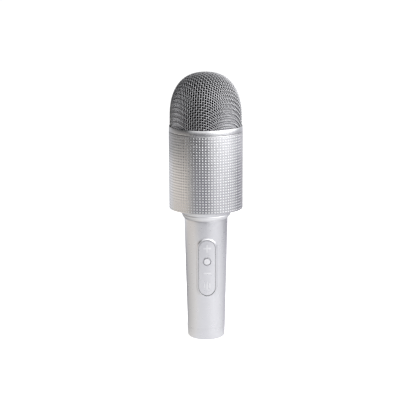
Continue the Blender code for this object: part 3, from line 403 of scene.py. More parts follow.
def pressed_paper():
    """Black pressed-pulp paper: matt, with short fibres."""
    made, tree, shader, where = finish("pressed_paper", Roughness=0.85, IOR=1.45)
    felt = {"Vector": where, "Scale": 1 / (0.8 * MM), "Detail": 6.0}
    fibres = add(tree, "TexNoise", felt).outputs["Fac"]
    patterned(tree, shader, (fibres, "#141414", "#2A2928"), relief=(fibres, 0.03 * MM))
    return made


def wound_copper():
    """Enamelled copper winding: fine turns of 0.2 mm with a lacquered orange gloss, each turn painted
    lighter on its crown as painted light and darker in the grooves as painted shade.
    """
    made, tree, shader, where = finish("wound_copper", Metallic=1.0, Roughness=0.3, Coat_Weight=0.5)
    turns = {"Vector": where, "Scale": 0.5 / (0.2 * MM)}
    turns_and_shade = add(tree, "TexWave", turns, bands_direction="Z").outputs["Fac"]
    # Painted light and shade: each turn is lighter on its crown and darker in the grooves beside it.
    patterned(tree, shader, (turns_and_shade, "#7A4020", "#C77B45"), relief=(turns_and_shade, 0.05 * MM))
    return made


FINISHES = {
    "silver_paint": metallic_lacquer("handle_lacquer", "#E8E8EB", "#E3E3E7", 0.3, 0.95),
    "satin_silver": metallic_lacquer("sleeve_lacquer", "#E4E4E6", "#DCDCDF", 0.2, 1.0),
    "key_silver": metallic_lacquer("key_lacquer", "#F6F6F8", "#F0F0F3", 0.4, 0.88),
    "pearl_plastic": metallic_lacquer("pearl_lacquer", "#FCFCFE", "#F8F8FB", 0.32, 0.75, 0.3),
    "steel_wire": stainless_wire(),
    "black_foam": open_cell_foam(),
    "grey_cloth": woven_cloth("acoustic_cloth", "#E0E0E2", "#CACACC", 0.35 * MM),
    "black_plastic": moulded_plastic("black_abs", "#1E1E1F", "#151516"),
    "plated_steel": plated_metal("nickel_plated_steel", "#B9B8B4", "#A3A29E", 0.35),
    "zinc_screw": plated_metal("zinc_plated_steel", "#B4B6BA", "#9A9CA0", 0.3),
    "capsule_metal": plated_metal("capsule_brass", "#BBA36B", "#A58D56", 0.4),
    "black_rubber": moulded_rubber("moulded_rubber"),
    "cone_paper": pressed_paper(),
    "spider_cloth": woven_cloth("resin_cotton", "#B8854A", "#8A5E30", 0.5 * MM),
    "copper_coil": wound_copper(),
    "ferrite": moulded_plastic("sintered_ferrite", "#333336", "#242426", 0.6),
    "board_green": moulded_plastic("solder_mask", "#1D5B33", "#174A2A", 0.35, 2 * MM),
    "battery_wrap": moulded_plastic("shrink_wrap", "#2F62B8", "#27559F", 0.3, 5 * MM),
    "lead_black": moulded_rubber("black_insulation", "#1A1A1A", "#121212"),
    "lead_red": moulded_rubber("red_insulation", "#A51F1A", "#8B1814"),
}


def repaint_cad_nodes():
    """Gives each CAD node that still shows the finish of its slot."""
    slots = {entry["node"]: entry["material_slot"] for entry in frame["record"]["subparts"]}
    for name, node in frame["nodes"].items():
        for place in node.material_slots:
            place.material = FINISHES[slots[name]]


# ---------------------------------------------------------------- grille


def weave_crossings():
    """Where the wires cross over one quarter of the dome.

    The net is laid from the top. Every crossing is one pitch from its neighbours, as in cloth that
    only shears, so it starts square and closes to narrow diamonds half way between the quarter's sides.
    """
    crown = GRILLE_TOP - 2 * WIRE_RADIUS - CROWN_FOOT
    power = CROWN_SQUARENESS

    def dome(point):
        """How far outside the dome a point is, and which way is out."""
        radius = max(math.hypot(point[0], point[1]), 1e-9)
        out = np.array((point[0] / radius, point[1] / radius, 0.0))
        if point[2] <= 0:
            return radius / WEAVE_RADIUS - 1, out / WEAVE_RADIUS
        side, up = radius / WEAVE_RADIUS, point[2] / crown
        slope = out * power * side ** (power - 1) / WEAVE_RADIUS
        slope[2] = power * up ** (power - 1) / crown
        return side**power + up**power - 1, slope

    def settle(start, near, other):
        """The point on the dome one pitch from near, and one from other or, without it, level with near."""
        point = np.array(start, float)
        for _ in range(30):
            value, slope = dome(point)
            first = point - near
            rows = [slope, 2 * first / WIRE_PITCH**2]
            gaps = [value, first @ first / WIRE_PITCH**2 - 1]
            if other is None:
                rows.append(np.array((0.0, 1.0 / WIRE_PITCH, 0.0)))
                gaps.append(point[1] / WIRE_PITCH)
            else:
                second = point - other
                rows.append(2 * second / WIRE_PITCH**2)
                gaps.append(second @ second / WIRE_PITCH**2 - 1)
            try:
                step = np.linalg.solve(np.array(rows), -np.array(gaps))
            except np.linalg.LinAlgError:
                return None
            point += step * min(1, WIRE_PITCH / 2 / max(np.linalg.norm(step), 1e-12))
            if np.linalg.norm(step) < 1e-9:
                return point
        return None

    floor = GRILLE_FOOT - CROWN_FOOT - WIRE_PITCH
    closed_up = 0.4 * WIRE_PITCH
    crossings = {(0, 0): np.array((0.0, 0.0, crown))}
    reach = 0
    ahead = np.array((WIRE_PITCH, 0.0, 0.0))
    while crossings[reach, 0][2] > floor:
        near = crossings[reach, 0]
        found = settle(near + ahead, near, None)
        ahead = found - near
        reach += 1
        crossings[reach, 0] = found
        crossings[0, reach] = np.array((-found[1], found[0], found[2]))
    for i in range(1, reach + 1):
        for j in range(1, reach + 1):
            corner = [crossings.get(key) for key in ((i - 1, j), (i, j - 1), (i - 1, j - 1))]
            if any(known is None for known in corner):
                break
            found = settle(corner[0] + corner[1] - corner[2], corner[0], corner[1])
            if found is None or np.linalg.norm(found - corner[2]) < closed_up:
                break
            crossings[i, j] = found
            if found[2] < floor:
                break
    return crossings, dome


def woven_wires():
    """Every wire of the grille as one bent line that runs over and under the wires across it."""
    quarter, dome = weave_crossings()
    crossings = {}
    for (i, j), point in quarter.items():
        x, y, z = point
        for _ in range(4):
            crossings[i, j] = np.array((x, y, z))
            i, j = -j, i
            x, y = -y, x
    spin = np.array(Matrix.Rotation(WEAVE_TURN - math.pi / 2, 3, "Z"))
    lowest = GRILLE_FOOT + WIRE_RADIUS - CROWN_FOOT
    curve = bpy.data.curves.new("grille_wires", "CURVE")
    curve.dimensions = "3D"
    curve.bevel_depth = WIRE_RADIUS
    curve.bevel_resolution = 1
    curve.use_fill_caps = True
    reach = max(i for i, j in crossings)
    for flipped in (False, True):
        for across in range(-reach, reach + 1):
            line = []
            for along in range(-reach, reach + 1):
                key = (across, along) if flipped else (along, across)
                if key in crossings:
                    over = 1 if (along + across + flipped) % 2 == 0 else -1
                    line.append((crossings[key], over))
            if len(line) < 2:
                continue
            points = bent_wire(line, dome, lowest)
            if len(points) < 3:
                continue
            spline = curve.splines.new("POLY")
            spline.points.add(len(points) - 1)
            for target, point in zip(spline.points, points):
                x, y, z = spin @ point
                target.co = (x, y, z + CROWN_FOOT, 1)
    piece("grille_wires", curve, "grille", "steel_wire", "grille_dome")


def bent_wire(line, dome, lowest, steps=3):
    """Points along one wire, lifted and lowered by a wire's radius where it crosses the others."""
    spots = [spot for spot, over in line]
    ends = [2 * spots[0] - spots[1], *spots, 2 * spots[-1] - spots[-2]]
    made = []
    for index in range(len(spots) - 1):
        before, start, end, after = ends[index : index + 4]
        for step in range(steps + (index == len(spots) - 2)):
            t = step / steps
            spot = 0.5 * (
                2 * start
                + (end - before) * t
                + (2 * before - 5 * start + 4 * end - after) * t**2
                + (3 * start - before - 3 * end + after) * t**3
            )
            out = dome(spot)[1]
            lift = WIRE_RADIUS * 0.97 * line[index][1] * math.cos(math.pi * t)
            spot = spot + out / np.linalg.norm(out) * lift
            if spot[2] >= lowest:
                made.append(spot)
    return made


def foam_liner():
    """The foam windscreen that shows black between the wires."""
    low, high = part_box("foam_liner")
    radius, crown = high.x, high.z - CROWN_FOOT
    thickness = 2.5 * MM
    steps = 32
    outer, inner = [], []
    for step in range(steps + 1):
        turn = math.pi / 2 * (1 - step / steps)
        across, up = math.cos(turn) ** (2 / CROWN_SQUARENESS), math.sin(turn) ** (2 / CROWN_SQUARENESS)
        outer.append((radius * across, CROWN_FOOT + crown * up))
        inner.append(((radius - thickness) * across, CROWN_FOOT + (crown - thickness) * up))
    outline = [*outer, (radius, low.z), (radius - thickness, low.z), *inner[::-1]]
    mesh = turned("foam_windscreen", outline, 96, closed=False)
    piece("foam_windscreen", mesh, "windscreen", "black_foam", "foam_liner")


def grille_ring():
    """The ring under the wires, with a thin rolled lip round them and a seat for their ends inside."""
    seat = RING_TOP - 1.6 * MM
    inside = HEAD_RADIUS - 2.2 * MM
    lip_inside = HEAD_RADIUS - 0.6 * MM
    lip_outside = HEAD_RADIUS - 0.2 * MM
    outline = softened(
        [
            (lip_outside, RING_TOP, 0.4 * MM),
            (HEAD_RADIUS, RING_FOOT, 0.3 * MM),
            (inside, RING_FOOT, 0.2 * MM),
            (inside, seat, 0),
            (lip_inside, seat, 0),
            (lip_inside, RING_TOP, 0.2 * MM),
        ]
    )
    mesh = turned("grille_retaining_ring", outline)
    piece("grille_retaining_ring", mesh, "grille", "satin_silver", "grille_ring")


# ---------------------------------------------------------------- head


def perforated_sleeve():
    """The sleeve as thin sheet with a round hole in every cell, a rolled foot and a plain top band."""
    across = 3 * HOLE_COLUMNS
    first = SLEEVE_FOOT + FIRST_HOLE_ROW - HOLE_PITCH / 2
    last = first + HOLE_ROWS * HOLE_PITCH
    rows = 3 * HOLE_ROWS + 1
    inside = HEAD_RADIUS - SHEET
    turns = np.arange(across) * 2 * math.pi / across

    def ring_of(radius, height):
        return [(radius * math.sin(a), -radius * math.cos(a), height) for a in turns]

    points, faces = [], []

    def add_rings(outline):
        start = len(points)
        for radius, height in outline:
            points.extend(ring_of(radius, height))
        faces.extend(quads(len(outline), across, start))

    # The square around each hole is the rim of 12 points that two neighbours share.
    rim = [(0, 0), (1, 0), (2, 0), (3, 0), (3, 1), (3, 2), (3, 3), (2, 3), (1, 3), (0, 3), (0, 2), (0, 1)]
    for radius, deeper in ((HEAD_RADIUS, True), (inside, False)):
        start = len(points)
        for row in range(rows):
            points.extend(ring_of(radius, first + row * HOLE_PITCH / 3))
        for hole_row in range(HOLE_ROWS):
            for column in range(HOLE_COLUMNS):
                square = [
                    start + (3 * hole_row + up) * across + (3 * column + side) % across for side, up in rim
                ]
                middle_turn = (column + 0.5) * 2 * math.pi / HOLE_COLUMNS
                middle_height = first + (hole_row + 0.5) * HOLE_PITCH
                depths = (radius, inside + 0.01 * MM) if deeper else (radius,)
                rings = [square]
                for depth in depths:
                    ring = []
                    for side, up in rim:
                        turn = math.atan2(up - 1.5, side - 1.5)
                        angle = middle_turn + HOLE_RADIUS * math.cos(turn) / HEAD_RADIUS
                        height = middle_height + HOLE_RADIUS * math.sin(turn)
                        ring.append(len(points))
                        points.append((depth * math.sin(angle), -depth * math.cos(angle), height))
                    rings.append(ring)
                for outer, inner in zip(rings, rings[1:]):
                    for index in range(len(rim)):
                        after = (index + 1) % len(rim)
                        faces.append((outer[index], outer[after], inner[after], inner[index]))
    foot_inside = HEAD_RADIUS - SLEEVE_CORNER
    corner = [
        (HEAD_RADIUS, first, 0),
        (HEAD_RADIUS, SLEEVE_FOOT, SLEEVE_CORNER),
        (foot_inside, SLEEVE_FOOT, 0.15 * MM),
        (foot_inside, SLEEVE_FOOT + SHEET, 0.15 * MM),
        (inside, SLEEVE_FOOT + SHEET, SLEEVE_CORNER - SHEET),
        (inside, first, 0),
    ]
    add_rings(softened(corner, closed=False, steps=8))
    band = [
        (HEAD_RADIUS, last, 0),
        (HEAD_RADIUS, SLEEVE_TOP, 0.15 * MM),
        (inside, SLEEVE_TOP, 0.15 * MM),
        (inside, last, 0),
    ]
    add_rings(softened(band, closed=False, steps=3))
    mesh = mesh_from("perforated_sleeve", points, faces, sharp=50, weld=0.000002)
    piece("perforated_sleeve", mesh, "housing", "satin_silver", "speaker_sleeve")


def sleeve_lining():
    """The pale cloth that shows through the holes."""
    thickness = 0.25 * MM
    outside = HEAD_RADIUS - SHEET - 0.03 * MM
    inside, foot, top = outside - thickness, SLEEVE_FOOT + 1.0 * MM, SLEEVE_TOP - 0.3 * MM
    outline = [(outside, top), (outside, foot), (inside, foot), (inside, top)]
    mesh = turned("sleeve_lining", outline)
    piece("sleeve_lining", mesh, "housing", "grey_cloth", "sleeve_cloth")


def rolled_surround():
    """The rubber roll between the cone and its frame, with its flat lip just under the gasket."""
    low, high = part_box("cone_surround")
    rubber = 0.5 * MM
    lip_width = 2.3 * MM
    under_gasket = 0.3 * MM
    steps = 13
    lip_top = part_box("driver_gasket")[0].z - under_gasket
    roll = high.z - low.z - rubber
    middle = high.x - lip_width
    under = math.asin((lip_top - rubber - low.z) / roll)
    over = math.asin((lip_top - low.z) / (roll + rubber))
    outline = [(high.x, lip_top), (high.x, lip_top - rubber)]
    for radius, first, last in ((roll, under, math.pi), (roll + rubber, math.pi, over)):
        for turn in np.linspace(first, last, steps):
            outline.append((middle + radius * math.cos(turn), low.z + radius * math.sin(turn)))
    mesh = turned("rolled_surround", outline, 96)
    made = piece("rolled_surround", mesh, None, "black_rubber", "cone_surround")
    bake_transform(made)


def head_underside():
    """The closed cup under the loudspeaker, which sweeps in to the neck and down into the handle."""
    cup_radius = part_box("speaker_cup")[1].x
    top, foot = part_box("speaker_cup")[1].z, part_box("speaker_cup")[0].z
    neck_ring_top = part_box("neck_ring")[1].z
    neck_ring_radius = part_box("neck_ring")[1].x
    joint = neck_ring_top + SEAM
    lip = HEAD_RADIUS - SLEEVE_CORNER - 0.12 * MM
    under = SLEEVE_FOOT - 0.4 * MM
    tube = 18.0 * MM
    tube_inside = tube - 2 * MM
    wall_foot = SLEEVE_FOOT + 1.1 * MM
    cup_floor = wall_foot + 1.5 * MM
    cup_inside = cup_radius - 1.5 * MM
    outline = softened(
        [
            (cup_radius, top, 0.3 * MM),
            (cup_radius, wall_foot + 1.2 * MM, 0.5 * MM),
            (lip, wall_foot, 0.2 * MM),
            (lip, under, 0.3 * MM),
            (neck_ring_radius + 2.6 * MM, under - 0.3 * MM, 3 * MM),
            (neck_ring_radius + 0.4 * MM, neck_ring_top + 1.6 * MM, 1.2 * MM),
            (neck_ring_radius - 0.1 * MM, joint, 0.03 * MM),
            (tube, joint, 0.2 * MM),
            (tube, foot, 0.4 * MM),
            (tube_inside, foot, 0.4 * MM),
            (tube_inside, cup_floor, 0.4 * MM),
            (cup_inside, cup_floor, 1 * MM),
            (cup_inside, top, 0.3 * MM),
        ]
    )
    mesh = turned("speaker_chamber", outline)
    piece("speaker_chamber", mesh, "housing", "silver_paint", "speaker_cup")


def neck_trim():
    """The pale ring between the head and the handle, waisted below its rounded rim."""
    low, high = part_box("neck_ring")
    radius = high.x
    inside = 18.3 * MM
    foot = low.z - 0.2 * MM
    outline = softened(
        [
            (inside, high.z, 0.2 * MM),
            (radius - 0.2 * MM, high.z, 0.35 * MM),
            (radius, high.z - 0.9 * MM, 0.5 * MM),
            (radius - 0.7 * MM, low.z + 2.0 * MM, 1.5 * MM),
            (TOP_RADIUS + 0.05 * MM, foot, 0.15 * MM),
            (inside, foot, 0.2 * MM),
        ],
        steps=8,
    )
    mesh = turned("neck_trim", outline)
    piece("neck_trim", mesh, "housing", "pearl_plastic", "neck_ring")


# ---------------------------------------------------------------- handle


def face_depth(x, height, proud):
    """How far in front of the axis the flatter keypad face is."""
    radius = handle_radius(height) + FACE_OFFSET + proud
    return math.sqrt(radius**2 - x**2) - FACE_OFFSET


def surround_rings(low, high, edge_points):
    """Rings of points from inside the keypad's window, over the raised surround and out to the edge.

    The keypad's box runs from low to high.
    """
    middle = (low.z + high.z) / 2 - WINDOW_DROP / 2
    width, length = high.x - low.x, high.z - low.z + WINDOW_DROP

    def ring_round(away, drop, share):
        """A ring this far outside the keypad, on the handle at share 0 and on the raised face at 1."""
        ring = []
        for x, up in stadium(width + 2 * away, length + 2 * away, len(edge_points)):
            height = middle + up
            plain = math.sqrt(handle_radius(height) ** 2 - x**2)
            raised = plain + (face_depth(x, height, SURROUND_PROUD) - plain) * share
            ring.append((x, -(raised + drop), height))
        return ring

    # The window's side and its rounded lip, as (distance outside the keypad, height over the face).
    lip = [
        (KEY_GAP, -1.9 * MM),
        (KEY_GAP, -0.25 * MM),
        (KEY_GAP + 0.03 * MM, -0.13 * MM),
        (KEY_GAP + 0.1 * MM, -0.04 * MM),
        (KEY_GAP + 0.22 * MM, 0.0),
        (SURROUND_CREST, 0.0),
    ]
    rings = [ring_round(away, drop, 1) for away, drop in lip]
    for t in np.linspace(0, 1, 9)[1:]:
        away = SURROUND_CREST + (SURROUND_REACH - SURROUND_CREST) * t
        rings.append(ring_round(away, 0, 1 - (3 * t**2 - 2 * t**3)))
    last = rings[-1]
    for t in (0.33, 0.66):
        ring = []
        for (x0, _, z0), (x1, _, z1) in zip(last, edge_points):
            x, height = x0 + (x1 - x0) * t, z0 + (z1 - z0) * t
            ring.append((x, -math.sqrt(handle_radius(height) ** 2 - x**2), height))
        rings.append(ring)
    return rings


def handle():
    """The tapered handle. Its front has a soft raised surround that dips into the keypad's window."""
    columns, above = 20, 40
    span = math.radians(38)
    margin = 5.5 * MM
    inset = 0.04 * MM
    end_band = 0.2 * MM
    low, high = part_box("keypad")
    window_foot, window_top = low.z - margin, high.z + margin
    foot = CAP_TOP + SEAM
    segments = round(math.pi * columns / span)
    step = 2 * math.pi / segments
    half = round(span / step)
    turns = [(index - half) * step for index in range(segments)]
    heights = list(np.linspace(window_foot, window_top, above + 1))
    below = list(np.linspace(foot + end_band, window_foot, 12))[:-1]
    over = list(np.linspace(window_top, HANDLE_TOP - end_band, 8))[1:]
    points, faces = [], []

    def ring_at(radius, height):
        start = len(points)
        points.extend((radius * math.sin(turn), -radius * math.cos(turn), height) for turn in turns)
        return start

    rings = [ring_at(handle_radius(foot) - HANDLE_WALL, foot), ring_at(handle_radius(foot) - inset, foot)]
    rings += [ring_at(handle_radius(height), height) for height in (*below, *heights, *over)]
    rings.append(ring_at(TOP_RADIUS - inset, HANDLE_TOP))
    rings.append(ring_at(TOP_RADIUS - HANDLE_WALL, HANDLE_TOP))
    first_row, last_row = 2 + len(below), 2 + len(below) + above
    for row, (here, next_up) in enumerate(zip(rings, rings[1:])):
        for column in range(segments):
            if first_row <= row < last_row and column < 2 * half:
                continue
            right = (column + 1) % segments
            faces.append((here + column, here + right, next_up + right, next_up + column))
    # The patch's edge, clockwise from the middle of its top, as seen from the front.
    top, bottom = rings[last_row], rings[first_row]
    edge = [top + column for column in range(half, 2 * half + 1)]
    edge += [rings[row] + 2 * half for row in range(last_row - 1, first_row - 1, -1)]
    edge += [bottom + column for column in range(2 * half - 1, -1, -1)]
    edge += [rings[row] for row in range(first_row + 1, last_row + 1)]
    edge += [top + column for column in range(1, half)]
    count = len(edge)
    patch = surround_rings(low, high, [points[index] for index in edge])
    start = len(points)
    for ring in patch:
        points.extend(ring)
    faces.extend(quads(len(patch), count, start))
    outermost = start + (len(patch) - 1) * count
    for index in range(count):
        after = (index + 1) % count
        faces.append((outermost + index, outermost + after, edge[after], edge[index]))
    mesh = mesh_from("handle_grip", points, faces, sharp=50)
    piece("handle_grip", mesh, "housing", "silver_paint", "handle_shell")


def slot_outline(width, height, steps=10):
    """A flat slot with round ends."""
    end = height / 2
    straight = width / 2 - end
    right = [(straight + end * math.sin(a), -end * math.cos(a)) for a in np.linspace(0, math.pi, steps)]
    return right + [(-x, -y) for x, y in right]


def round_outline(radius, count=48):
    return [(radius * math.cos(a), radius * math.sin(a)) for a in np.arange(count) * 2 * math.pi / count]


def foot_cap():
    """The cap that closes the handle, with its sockets and screw holes in the flat foot."""
    foot_radius = handle_radius(0)
    floor_top = 3 * MM
    inside = foot_radius - 3.3 * MM
    port_margin = 0.4 * MM
    jack_hole, screw_hole = 2.9 * MM, 2.15 * MM
    through, sunk = 12 * MM, 3.4 * MM
    outline = softened(
        [
            (0, floor_top, 0),
            (inside, floor_top, 0.3 * MM),
            (inside, CAP_TOP, 0),
            (CAP_RADIUS, CAP_TOP, 0.04 * MM),
            (foot_radius, 0, FOOT_CORNER),
            (0, 0, 0),
        ],
        closed=False,
        steps=10,
    )
    usb_low, usb_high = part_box("usb_socket")
    usb_middle = (usb_low + usb_high) / 2
    jack_low, jack_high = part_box("audio_jack")
    jack_middle = (jack_low + jack_high) / 2
    port = slot_outline(usb_high.x - usb_low.x + port_margin, usb_high.y - usb_low.y + port_margin)
    cuts = [("DIFFERENCE", flat_shape("port", port, through, (usb_middle.x, usb_middle.y, 0), False))]
    hole = round_outline(jack_hole)
    cuts.append(("DIFFERENCE", flat_shape("hole", hole, through, (jack_middle.x, jack_middle.y, 0), False)))
    for name in ("end_cap_screw_1", "end_cap_screw_2"):
        low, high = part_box(name)
        place = ((low.x + high.x) / 2, (low.y + high.y) / 2, 0)
        cuts.append(("DIFFERENCE", flat_shape("sink", round_outline(screw_hole), sunk, place, False)))
    mesh = carved("foot_cap", turned("foot_cap_body", outline, 96), cuts, 0.12 * MM)
    piece("foot_cap", mesh, "housing", "silver_paint", "end_cap")


# ---------------------------------------------------------------- keypad and keys


def face_block(proud):
    """A solid whose front is the flatter face, to trim the keypad and the keys."""
    top, foot = 110 * MM, 30 * MM
    over_face = FACE_OFFSET + proud
    sides = [(handle_radius(height) + over_face, height) for height in (top, foot)]
    outline = [(0, top), *sides, (0, foot)]
    mesh = turned("face_block", outline, 256, closed=False)
    mesh.transform(Matrix.Translation((0, FACE_OFFSET, 0)))
    return mesh


def grown(outline, by):
    """An outline pushed out by a gap, each corner along its bisector."""
    made = []
    for index, point in enumerate(outline):
        here = Vector(point)
        first = (here - Vector(outline[index - 1])).normalized()
        second = (Vector(outline[(index + 1) % len(outline)]) - here).normalized()
        normal = Vector((first.y, -first.x))
        bisector = (normal + Vector((second.y, -second.x))).normalized()
        made.append(tuple(here + bisector * (by / max(bisector.dot(normal), 0.3))))
    return made


def plus_outline():
    arm, half = GLYPH_SIZE / 2, GLYPH_STROKE / 2
    points = []
    for quarter in range(4):
        turn = quarter * math.pi / 2
        for x, y in ((half, half), (half, arm), (-half, arm)):
            points.append((x * math.cos(turn) - y * math.sin(turn), x * math.sin(turn) + y * math.cos(turn)))
    return points


def glyphs():
    """The raised shapes of the four keys, from the top down."""
    flat_bar = slot_outline(GLYPH_SIZE, GLYPH_STROKE, 7)
    bars = []
    for column, share in enumerate((0.55, 1.0, 0.75)):
        shift = (column - 1) * GLYPH_SIZE / 3
        lying = slot_outline(GLYPH_SIZE * share, GLYPH_STROKE, 7)
        bars.append([(-y + shift, x) for x, y in lying])
    return {
        "plus": [plus_outline()],
        "power": [round_outline(POWER_KEY_RADIUS)],
        "minus": [flat_bar],
        "mode": bars,
    }


def key_height(name):
    low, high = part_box(f"{name}_key")
    return (low.z + high.z) / 2


def smooth_face(mesh):
    """Gives the parts of a mesh that lie on the flatter face that face's own even curve."""
    taper = (TOP_RADIUS - CAP_RADIUS) / (HANDLE_TOP - CAP_TOP)
    on_the_face = math.cos(math.radians(8))
    corners = [normal.vector.copy() for normal in mesh.corner_normals]
    for polygon in mesh.polygons:
        for loop in polygon.loop_indices:
            x, y, _ = mesh.vertices[mesh.loops[loop].vertex_index].co
            away = Vector((x, y - FACE_OFFSET, 0)).normalized()
            even = (away - Vector((0, 0, taper))).normalized()
            if even.dot(polygon.normal) > on_the_face:
                corners[loop] = even
    mesh.normals_split_custom_set(corners)
    return mesh


def keypad_plate():
    """The long plate, with a rounded edge and an opening for each raised shape."""
    low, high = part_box("keypad")
    front, back = -30 * MM, high.y
    outline = list(reversed(stadium(high.x - low.x, high.z - low.z, 120)))
    centre = (0, (front + back) / 2, (low.z + high.z) / 2)
    blank = flat_shape("keypad_blank", outline, back - front, centre)
    blank = carved("keypad_blank", blank, [("INTERSECT", face_block(KEYPAD_PROUD))], PLATE_ROUNDING, 5)
    hole_depth, hole_middle = 30 * MM, -20 * MM
    steps = []
    for name, shapes in glyphs().items():
        gap = POWER_GAP if name == "power" else GLYPH_GAP
        place = (0, hole_middle, key_height(name))
        for shape in shapes:
            steps.append(("DIFFERENCE", flat_shape("glyph_hole", grown(shape, gap), hole_depth, place)))
    mesh = smooth_face(carved("keypad_plate", blank, steps, 0.12 * MM))
    piece("keypad_plate", mesh, "housing", "silver_paint", "keypad")


def key_tops():
    """The four keys: a round flange behind the plate and the raised shapes that pass through it."""
    form = face_block(GLYPH_PROUD)
    front = -30 * MM
    flange_depth = 1.0 * MM
    overlap = 0.2 * MM
    for name, shapes in glyphs().items():
        low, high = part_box(f"{name}_key")
        flange = high.x - low.x
        start = (0, high.y - flange_depth / 2, key_height(name))
        key = flat_shape(f"{name}_flange", round_outline(flange / 2, 32), flange_depth, start)
        place = (0, (front + high.y) / 2, key_height(name))
        steps = []
        for outline in shapes:
            steps.append(("UNION", flat_shape("stem", outline, high.y - front - overlap, place)))
        steps.append(("INTERSECT", form))
        bevel, segments = (0.6 * MM, 4) if name == "power" else (0.42 * MM, 1)
        mesh = smooth_face(carved(f"{name}_key_top", key, steps, bevel, segments))
        piece(f"{name}_key_top", mesh, f"{name}_button", "key_silver", f"{name}_key")


# ---------------------------------------------------------------- camera and light


def camera():
    """A long lens a little above the head, turned slightly so that the keypad sits right of the middle."""
    distance, height, aside = 1.5, 442.6 * MM, 1.9 * MM
    turn, down, roll = math.radians(2.6), math.radians(11.99), math.radians(-0.17)
    eye = bpy.data.cameras.new("camera")
    eye.sensor_width = 36.0
    eye.lens = 141.28
    eye.clip_end = 50
    made = bpy.data.objects.new("camera", eye)
    along = Vector((math.sin(turn), math.cos(turn), 0))
    right = Vector((math.cos(turn), -math.sin(turn), 0))
    made.location = -along * distance + right * aside + Vector((0, 0, height))
    facing = Matrix.Rotation(-turn, 3, "Z") @ Matrix.Rotation(math.pi / 2 - down, 3, "X")
    made.rotation_euler = (facing @ Matrix.Rotation(roll, 3, "Z")).to_euler()
    bpy.context.scene.collection.objects.link(made)
    bpy.context.scene.camera = made


def glowing(name):
    """A material that gives out light as its mesh's colours say."""
    made = bpy.data.materials.new(name)
    made.use_nodes = True
    tree = made.node_tree
    tree.nodes.clear()
    colour = add(tree, "Attribute", attribute_name="glow").outputs["Color"]
    light = add(tree, "Emission", {"Color": colour, "Strength": 1.0})
    add(tree, "OutputMaterial", {"Surface": light.outputs["Emission"]})
    return made


# What the silver surfaces mirror: azimuth in degrees from the front, towards the right, with the colours
# of the floor close by and of the low and the high part of the tent's wall, and the strength of the plain
# white light from everything above.
TENT = [
    (-180, "#8C8C90", "#E4E4E8", "#CBCBCF", 0.35),
    (-155, "#848488", "#E4E4E8", "#BCBCC0", 0.12),
    (-135, "#BCBCBE", "#F6F6F8", "#B4B4B6", 0.05),
    (-115, "#CECCC8", "#F8F1E8", "#A4A2A0", 0.04),
    (-90, "#E0DEDA", "#F4ECE3", "#949290", 0.04),
    (-66, "#EDEBE7", "#EDE5DB", "#848280", 0.05),
    (-56, "#F0EEEC", "#D6D1CA", "#7A7978", 0.15),
    (-46, "#EFEFF0", "#B6B4B2", "#626262", 0.7),
    (-34, "#EFEFF0", "#9E9EA2", "#5C5C5E", 0.9),
    (-5, "#EFEFF2", "#94949A", "#848486", 1.2),
    (2, "#F0F0F2", "#9A9A9E", "#98989A", 1.3),
    (10, "#F3F3F5", "#ACACB0", "#C0C0C2", 1.6),
    (25, "#F8F8FA", "#D0D0D4", "#DEDEE0", 2.4),
    (45, "#FAFAFC", "#D8D8DC", "#F6F6F8", 3.4),
    (70, "#F4F4F6", "#CECED2", "#FAFAFC", 3.4),
    (88, "#E8E8EA", "#C6C6CA", "#DEDEE2", 2.4),
    (110, "#D4D4D8", "#929298", "#C3C3C8", 1.6),
    (125, "#CACAD0", "#96969C", "#C2C2C8", 1.2),
    (140, "#C4C4CA", "#ACACB2", "#CECED4", 0.8),
    (180, "#C4C4C8", "#E4E4E8", "#CBCBCF", 0.35),
]
TENT_RADIUS = 0.45


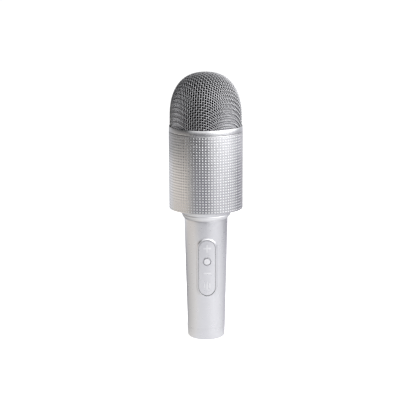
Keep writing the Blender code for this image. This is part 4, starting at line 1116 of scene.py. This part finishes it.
def tent():
    """A light tent round the microphone, which only its shiny surfaces see."""
    columns = 120
    tip = 0.001
    near, low, high, upper = 1, 2, 3, 4
    # Each ring is (radius, height, column of the table, strength).
    rings = [
        (tip, 0.0, near, 1.0),
        (0.8 * TENT_RADIUS, 0.0, near, 1.0),
        (TENT_RADIUS, 0.0, low, 0.85),
        (TENT_RADIUS, 0.018, low, 0.85),
        (TENT_RADIUS, 0.03, low, 1.0),
        (TENT_RADIUS, 0.09, low, 1.0),
        (TENT_RADIUS, 0.104, high, 1.0),
        (TENT_RADIUS, 0.155, high, 1.0),
        (TENT_RADIUS, 0.21, upper, 1.0),
        (0.95 * TENT_RADIUS, 0.5, upper, 1.2),
        (0.8 * TENT_RADIUS, 0.8, upper, 1.1),
        (tip, 0.95, upper, 1.0),
    ]
    azimuths = [row[0] for row in TENT]
    channels = {which: list(zip(*[linear(row[which])[:3] for row in TENT])) for which in (near, low, high)}
    channels[upper] = [[row[upper] for row in TENT]] * 3
    points, colours = [], []
    for radius, height, which, strength in rings:
        for column in range(columns):
            azimuth = -180 + 360 * column / columns
            turn = math.radians(azimuth)
            points.append((radius * math.sin(turn), -radius * math.cos(turn), height))
            shade = [strength * np.interp(azimuth, azimuths, channel) for channel in channels[which]]
            colours.append((*shade, 1.0))
    mesh = bpy.data.meshes.new("light_tent")
    mesh.from_pydata(points, [], quads(len(rings), columns))
    glow = mesh.color_attributes.new("glow", "FLOAT_COLOR", "POINT")
    for entry, colour in zip(glow.data, colours):
        entry.color = colour
    mesh.materials.append(glowing("tent_glow"))
    made = bpy.data.objects.new("light_tent", mesh)
    bpy.context.scene.collection.objects.link(made)
    made.visible_camera = False
    made.visible_diffuse = False
    made.visible_shadow = False


def floor():
    """A white sheet that gives out light of its own, so that it stays even and takes no shadow."""
    mesh = bpy.data.meshes.new("floor")
    size = 12.0
    corners = [(-size, -size, 0), (size, -size, 0), (size, size, 0), (-size, size, 0)]
    mesh.from_pydata(corners, [], [(0, 1, 2, 3)])
    made = bpy.data.materials.new("white_acrylic")
    made.use_nodes = True
    shader = made.node_tree.nodes["Principled BSDF"]
    shader.inputs["Base Color"].default_value = linear("#E8E8E8")
    shader.inputs["Roughness"].default_value = 0.6
    shader.inputs["Emission Color"].default_value = (1, 1, 1, 1)
    shader.inputs["Emission Strength"].default_value = 1.0
    mesh.materials.append(made)
    sheet = bpy.data.objects.new("floor", mesh)
    bpy.context.scene.collection.objects.link(sheet)
    sheet.visible_diffuse = False
    sheet.visible_glossy = False


def key_light():
    """A square lamp at the upper right that looks at the middle of the microphone."""
    lamp = bpy.data.lights.new("key_light", "AREA")
    lamp.shape = "SQUARE"
    lamp.size = 0.4
    lamp.energy = 38
    made = bpy.data.objects.new("key_light", lamp)
    turn, rise, distance = math.radians(36), math.radians(30), 1.2
    away = Vector((math.sin(turn) * math.cos(rise), -math.cos(turn) * math.cos(rise), math.sin(rise)))
    middle = Vector((0, 0, 140 * MM))
    made.location = middle + away * distance
    made.rotation_euler = away.to_track_quat("Z", "Y").to_euler()
    made.visible_glossy = False
    bpy.context.scene.collection.objects.link(made)


def room():
    world = bpy.data.worlds.new("room")
    world.use_nodes = True
    back = world.node_tree.nodes["Background"]
    back.inputs["Color"].default_value = (1, 1, 1, 1)
    back.inputs["Strength"].default_value = 0.06
    bpy.context.scene.world = world
    bpy.context.scene.view_settings.view_transform = "Standard"


camera()
room()
floor()
tent()
key_light()
repaint_cad_nodes()
woven_wires()
foam_liner()
grille_ring()
perforated_sleeve()
sleeve_lining()
rolled_surround()
head_underside()
neck_trim()
handle()
foot_cap()
keypad_plate()
key_tops()
